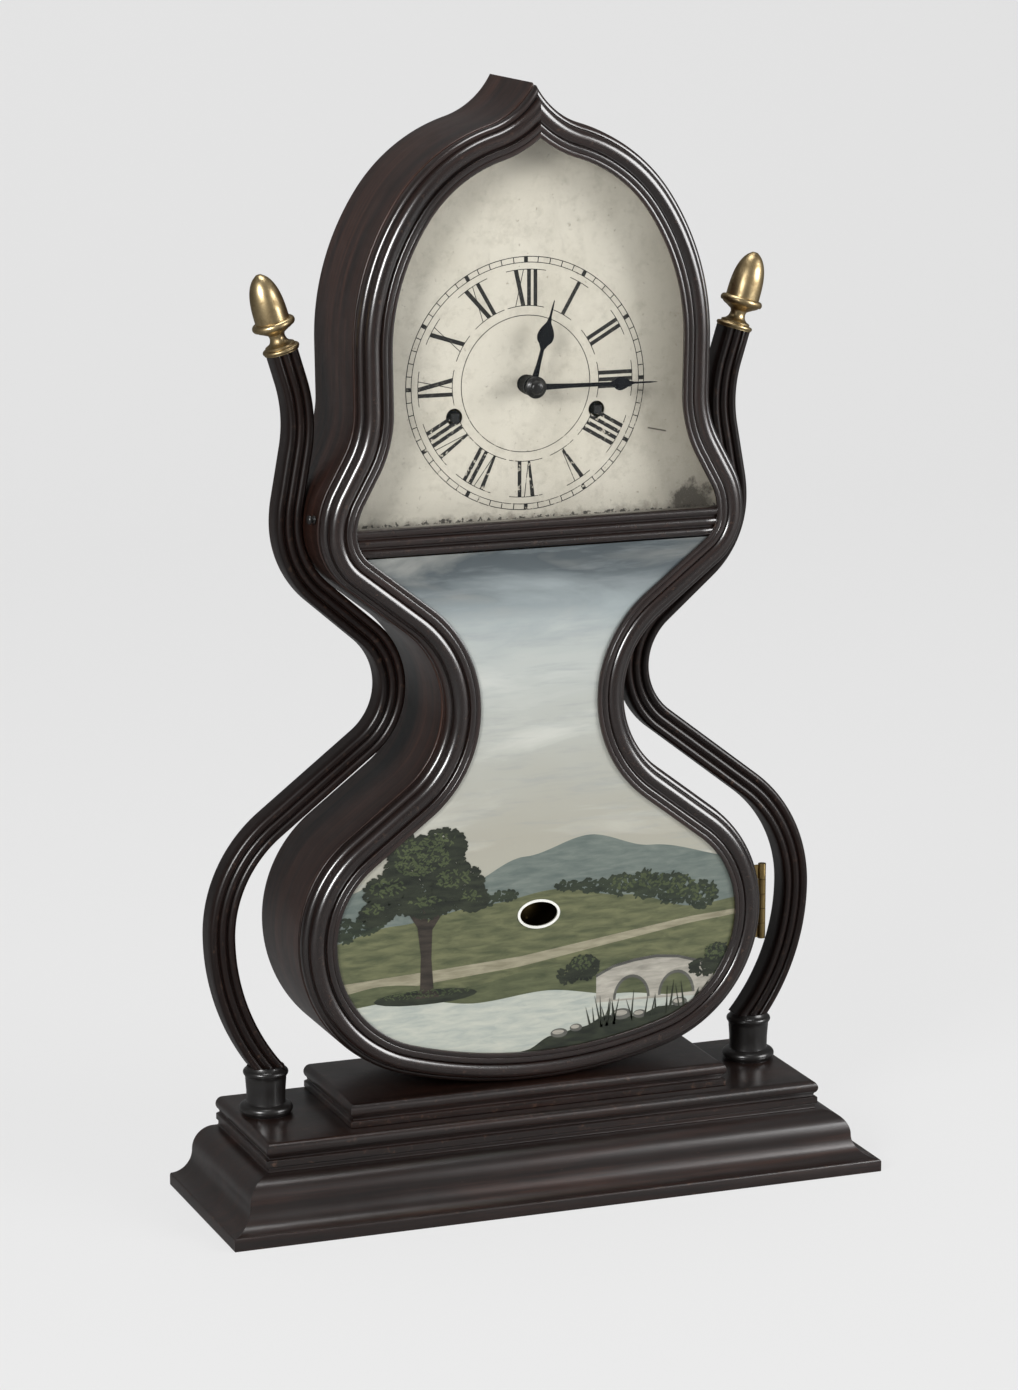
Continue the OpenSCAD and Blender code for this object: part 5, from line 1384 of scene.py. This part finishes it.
@dataclass
class Tablet(Part):
    """The painted glass under the dial: an invented lake landscape in flat layers of paint."""

    front: float = -17.05
    back: float = -16.35
    layer: float = 0.035
    peep: Point = (0.0, 157.0)
    peep_size: Point = (11.0, 6.8)
    peep_rim: float = 1.4
    margin: float = 15.5

    @property
    def foot(self) -> float:
        """The height under which nothing is painted."""
        return PLINTH_TOP + self.margin + 0.5

    def oval(self, grow: float = 0.0) -> list[Point]:
        """Returns the clear oval's edge, grown by so much."""
        return ellipse(self.peep, self.peep_size[0] + grow, self.peep_size[1] + grow, range(0, 360, 8))

    def clamp(self, p: Point) -> Point:
        """Returns the point, moved inside the door's opening where it is outside."""
        z = max(p[1], self.foot)
        wide = half_width(self.margin, z)
        return (max(-wide, min(wide, p[0])), z)

    def side(self, top: float, sign: int) -> list[Point]:
        """Returns points down one side of the opening, from a height to its lowest point."""
        steps = 24
        heights = [self.foot + (top - self.foot) * (1 - k / steps) ** 2 for k in range(1, steps + 1)]
        return [(sign * half_width(self.margin, z), z) for z in heights]

    def land(self, edge: list[Point]) -> list[Point]:
        """Returns the outline of a strip of land: its upper edge, then round along the glass below.

        Args:
            edge: Points of the upper edge from left to right.

        Returns:
            The corners.
        """
        out: list[Point] = []
        for a, b in zip(edge, edge[1:]):
            steps = max(2, int(distance(a, b) / 2.5))
            for t in (k / steps for k in range(steps)):
                soft = t * t * (3 - 2 * t)
                out.append(self.clamp((a[0] + (b[0] - a[0]) * t, a[1] + (b[1] - a[1]) * soft)))
        out.append(self.clamp(edge[-1]))
        return clean(out + self.side(out[-1][1], 1) + list(reversed(self.side(out[0][1], -1))))

    def blob(self, x: float, z: float, a: float, b: float) -> list[Point]:
        """Returns an oval region, kept inside the opening."""
        return clean([self.clamp(p) for p in ellipse((x, z), a, b, range(0, 360, 20))])

    def add(self, name: str, outline: list[Point], level: int, look: str,
            holes: list[list[Point]] | None = None) -> None:
        """Adds one flat layer of paint at a level in front of the ground."""
        piece = plate(f"paint_{name}", outline, self.front - self.layer * level, self.front + 0.02, holes)
        self.settle(piece, look, "door", "tablet")

    def scatter(self, dabs: Dabs, ovals: Iterable[Oval], level: int, look: str) -> None:
        """Adds dabs over some ovals at a level."""
        regions = [self.blob(*oval) for oval in ovals]
        piece = dabs.build(regions, self.front - self.layer * level, self.finishes[look])
        self.settle(piece, look, "door", "tablet")

    def paint_far(self) -> None:
        """Paints the hills, the far trees, the fields and the water."""
        hills = [(-125, 174), (-88, 183), (-46, 176), (-8, 190), (30, 199), (66, 190), (125, 178)]
        self.add("hills", self.land(hills), 1, "hill", [self.oval()])
        trees = [(-34, 167, 9, 3.5), (-20, 169, 8, 3), (18, 171, 8, 3), (32, 170, 9, 4), (48, 169, 10, 6),
                 (63, 168, 10, 8), (80, 164, 12, 9), (97, 159, 10, 8), (-112, 158, 8, 7), (-98, 161, 10, 6)]
        lights = [(50, 170, 8, 4), (66, 170, 9, 5), (84, 165, 10, 6), (98, 160, 8, 5)]
        self.scatter(Dabs("far_trees", 1.7, 0.55, 5), trees, 4, "tree")
        self.scatter(Dabs("far_tree_lights", 1.2, 0.22, 6), lights, 6, "leaf")
        fields = [(-125, 150), (-84, 158), (-30, 165), (10, 170), (52, 163), (92, 153), (125, 156)]
        self.add("fields", self.land(fields), 3, "field", [self.oval()])
        track = [(-125, 128), (-60, 131), (-10, 134), (44, 141), (90, 147), (125, 149)]
        lane = track + [(x, z - 5.5 + 0.02 * x) for x, z in reversed(track)]
        self.add("lane", clean([self.clamp(p) for p in lane]), 4, "lane")
        meadow = [(-125, 121), (-90, 125), (-40, 120), (0, 126), (40, 128), (84, 122), (125, 124)]
        self.add("meadow", self.land(meadow), 5, "meadow")
        shore = [(-125, 113), (-80, 116), (-36, 110), (4, 113), (48, 107), (84, 103), (125, 108)]
        self.add("water", self.land(shore), 6, "water")

    def paint_bridge(self) -> None:
        """Paints a stone bridge with two arches over the inlet at the right."""
        body = [(34, 103), (34, 119), (44, 123.5), (57, 126), (70, 127), (83, 125.5), (96, 121.5),
                (104, 117.5), (104, 101)]
        spring, radius, wider, taller = 103.5, 9.5, 1.16, 1.14
        arches = [ellipse((x, spring), radius, 1.25 * radius, range(0, 181, 12)) for x in (55, 82)]
        self.add("bridge", body, 8, "stone", arches)
        parapet = body[1:-1]
        self.add("parapet", parapet + [(x, z - 1.6) for x, z in reversed(parapet)], 9, "stone_dark")
        for i, arch in enumerate(arches):
            middle = sum(p[0] for p in arch) / len(arch)
            outer = [(middle + (x - middle) * wider, spring + (z - spring) * taller) for x, z in arch]
            self.add(f"arch_{i}", outer + list(reversed(arch)), 9, "stone_dark")

    def paint_oak(self) -> None:
        """Paints a broad oak at the left, with its shade on the grass."""
        self.add("oak_shade", self.blob(-66, 116.5, 30, 4.2), 7, "dark")
        trunk = [(-72, 116), (-69.2, 121), (-68.6, 140), (-70.5, 156), (-78, 168), (-76, 169.5), (-68.5, 160),
                 (-66.5, 172), (-64.5, 172), (-64.6, 158), (-55, 169), (-53.2, 167), (-62, 154), (-62.6, 138),
                 (-61.4, 121), (-58, 116)]
        self.add("oak_trunk", trunk, 8, "bark")
        crown = [(-66, 186, 24, 20), (-86, 176, 15, 12), (-48, 177, 16, 13), (-74, 198, 14, 10),
                 (-56, 200, 14, 10), (-94, 166, 9, 7), (-38, 169, 9, 7), (-65, 168, 15, 7)]
        lights = [(x - 1.5, z + 0.35 * b, 0.66 * a, 0.42 * b) for x, z, a, b in crown]
        self.scatter(Dabs("oak_leaves", 1.8, 0.75, 11), crown, 9, "dark")
        self.scatter(Dabs("oak_lights", 1.2, 0.38, 12, 0.4), lights, 11, "leaf")
        self.scatter(Dabs("oak_grass", 0.9, 0.5, 13, 0.35), [(-66, 118.5, 28, 2.2)], 9, "leaf")

    def paint_bank(self) -> None:
        """Paints the bushes by the bridge, and the near bank with its stones and reeds."""
        bushes = ((27, 124, 9, 7), (18, 120.5, 7, 5), (107, 122, 8, 8), (98, 117, 8, 5))
        lights = ((26, 127, 7, 4), (105, 125, 6, 5))
        self.scatter(Dabs("bushes", 1.5, 0.9, 21), bushes, 10, "dark")
        self.scatter(Dabs("bush_lights", 1.0, 0.4, 22), lights, 12, "leaf")
        bank = [(-22, 76), (-8, 80), (8, 87), (26, 90), (40, 95), (58, 93), (76, 98), (92, 97), (125, 104)]
        self.add("bank", self.land(bank), 10, "dark")
        for i, (x, z, a, b) in enumerate(((12, 88, 5, 2.6), (22, 90, 3.6, 2.2), (49, 95, 6, 3.2),
                                          (60, 94, 4, 2.4), (84, 98.5, 4.5, 2.6))):
            self.add(f"rock_{i}", self.blob(x, z, a, b), 11, "stone_dark")
            self.add(f"rock_top_{i}", self.blob(x - 0.6, z + 0.6, 0.7 * a, 0.5 * b), 12, "stone")
        draw = random.Random(31)
        left, right = 30, 104
        for i in range(26):
            x = draw.uniform(left, right)
            z = 88 + 0.1 * (x - left)
            tip = (x + draw.uniform(-4, 4), z + draw.uniform(9, 19))
            wide = draw.uniform(0.5, 0.9)
            bend = ((x + tip[0]) / 2 + 0.5 * wide, (z + tip[1]) / 2)
            reed = [self.clamp(p) for p in ((x - wide, z), (x + wide, z), bend, tip)]
            self.add(f"reed_{i}", clean(reed), 13, "dark")

    def build(self) -> None:
        """Builds the tablet and its painting."""
        outline = opening(0, RAIL_Z - RAIL_GAP)
        piece = plate("tablet", outline, self.front, self.back, [self.oval()], bevel=0.02)
        self.settle(piece, "sky", "door", "tablet", "tablet_glass")
        self.paint_far()
        self.paint_bridge()
        self.paint_oak()
        self.paint_bank()
        self.add("peep_rim", self.oval(self.peep_rim), 14, "white", [self.oval()])


@dataclass
class Movement(Part):
    """Everything behind the dial, and what else the model has, as brass, steel or black iron; the black on
    the winding arbors and hand wheels is partly painted shade.
    """

    def build(self) -> None:
        """Dresses every node that no other class has replaced."""
        # These are dressed in black iron: on the arbors partly as dark oxide, and on all of them as painted
        # shade of the dial's holes they sit in.
        black = {"time_winding_arbor", "strike_winding_arbor", "hour_wheel", "cannon_pinion"}
        steel = {"time_winding_arbor", "time_mainspring", "verge", "pendulum_rod", "strike_winding_arbor",
                 "strike_mainspring", "strike_lever", "strike_hammer", "wire_gong"}
        for body, nodes in frame["record"]["behaviour"]["bodies"].items():
            for node in nodes:
                if not frame["nodes"][node].hide_render:
                    slot = "steel" if node in steel else "brass"
                    self.keep((node, "iron" if node in black else slot, body, slot))


@dataclass
class Studio:
    """The pale floor and backdrop, the lamps and the camera; in metres and radians."""

    place: Triple = (-0.8514, -2.1996, 0.7935)
    yaw: float = 0.365
    pitch: float = 0.216
    lens: float = 114.83
    lift: float = 0.69
    shade: float = 0.105
    middle: Triple = (0.0, 0.0, 0.3)
    room: float = 0.3
    room_in_gloss: float = 0.14
    sheet_half: float = 4.0
    sheet_start: float = -3.0
    bend_start: float = 1.6
    bend_radius: float = 0.9
    sheet_top: float = 3.6

    def build_floor(self) -> None:
        """Builds one sheet that is the floor and curves up into the backdrop."""
        foot, r = self.bend_start, self.bend_radius
        bend = [(foot + r * math.sin(math.radians(a)), r - r * math.cos(math.radians(a)))
                for a in range(6, 91, 6)]
        line = [(self.sheet_start, 0.0), (foot, 0.0), *bend, (foot + r, self.sheet_top)]
        bm = bmesh.new()
        rows = [[bm.verts.new((x, y, z)) for x in (-self.sheet_half, self.sheet_half)] for y, z in line]
        for a, b in zip(rows, rows[1:]):
            bm.faces.new([a[0], a[1], b[1], b[0]])
        sheet = shaded("backdrop", bm, 180)
        s = Shade("pale paper")
        pale, paler, gloss = ((grey, grey, grey) for grey in (0.80, 0.84, 0.17))
        paper = s.ramp(s.noise(s.place(), 1.4, 3, 0.5), (0.3, pale), (0.7, paler))
        paper = s.mix(s.ray("Is Glossy Ray"), paper, gloss)
        paper = s.mix(s.ray("Is Camera Ray"), paper, (self.shade, self.shade, self.shade))
        glow = s.math("MULTIPLY", s.ray("Is Camera Ray"), self.lift)
        s.surface(base_color=paper, roughness=0.9, emission_color=(1, 1, 1), emission_strength=glow,
                  specular_ior_level=0.1)
        sheet.data.materials.append(s.material)
        sheet.location.y = 0.35

    def build_lamp(self, name: str, place: Triple, size: float, power: float) -> None:
        """Adds a square soft lamp that faces the clock's middle."""
        data = bpy.data.lights.new(name, "AREA")
        data.size = size
        data.energy = power
        lamp = linked(name, data)
        lamp.location = place
        lamp.rotation_euler = (Vector(self.middle) - Vector(place)).to_track_quat("-Z", "Y").to_euler()

    def build_room(self) -> None:
        """Sets the even light of the room, which is dimmer in glossy reflections."""
        world = bpy.data.worlds.new("room")
        bpy.context.scene.world = world
        world.use_nodes = True
        nodes, links = world.node_tree.nodes, world.node_tree.links
        back = nodes["Background"]
        back.inputs[0].default_value = (0.86, 0.86, 0.86, 1)
        rays = nodes.new("ShaderNodeLightPath")
        dim = nodes.new("ShaderNodeMapRange")
        dim.inputs["To Min"].default_value = self.room
        dim.inputs["To Max"].default_value = self.room_in_gloss
        links.new(rays.outputs["Is Glossy Ray"], dim.inputs["Value"])
        links.new(dim.outputs[0], back.inputs[1])

    def build_camera(self) -> None:
        """Adds the camera."""
        data = bpy.data.cameras.new("camera")
        data.sensor_fit = "AUTO"
        data.sensor_width = 36
        data.lens = self.lens
        camera = linked("camera", data)
        flat = math.cos(self.pitch)
        way = Vector((math.sin(self.yaw) * flat, math.cos(self.yaw) * flat, -math.sin(self.pitch)))
        camera.location = self.place
        camera.rotation_euler = way.to_track_quat("-Z", "Y").to_euler()
        bpy.context.scene.camera = camera

    def build(self) -> None:
        """Builds the studio."""
        self.build_floor()
        self.build_lamp("left", (-1.66, -1.38, 1.15), size=0.75, power=42)
        self.build_lamp("right", (1.72, -1.43, 0.98), size=1.25, power=44)
        self.build_lamp("top", (0.0, 0.1, 2.5), size=1.0, power=20)
        self.build_room()
        self.build_camera()
        bpy.context.scene.view_settings.view_transform = "Standard"


def main() -> None:
    """Makes the finishes, then builds the studio and the clock's parts in order."""
    logging.basicConfig(level=logging.INFO, format="%(message)s")
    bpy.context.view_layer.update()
    finishes = {word: look.make() for word, look in LOOKS.items()}
    Studio().build()
    for part in (Base, Case, Arms, Door, Tablet, Dial, Hands, Movement):
        part(finishes).build()
        LOG.info("%s is built", part.__name__)


if __name__ == "__main__":
    main()
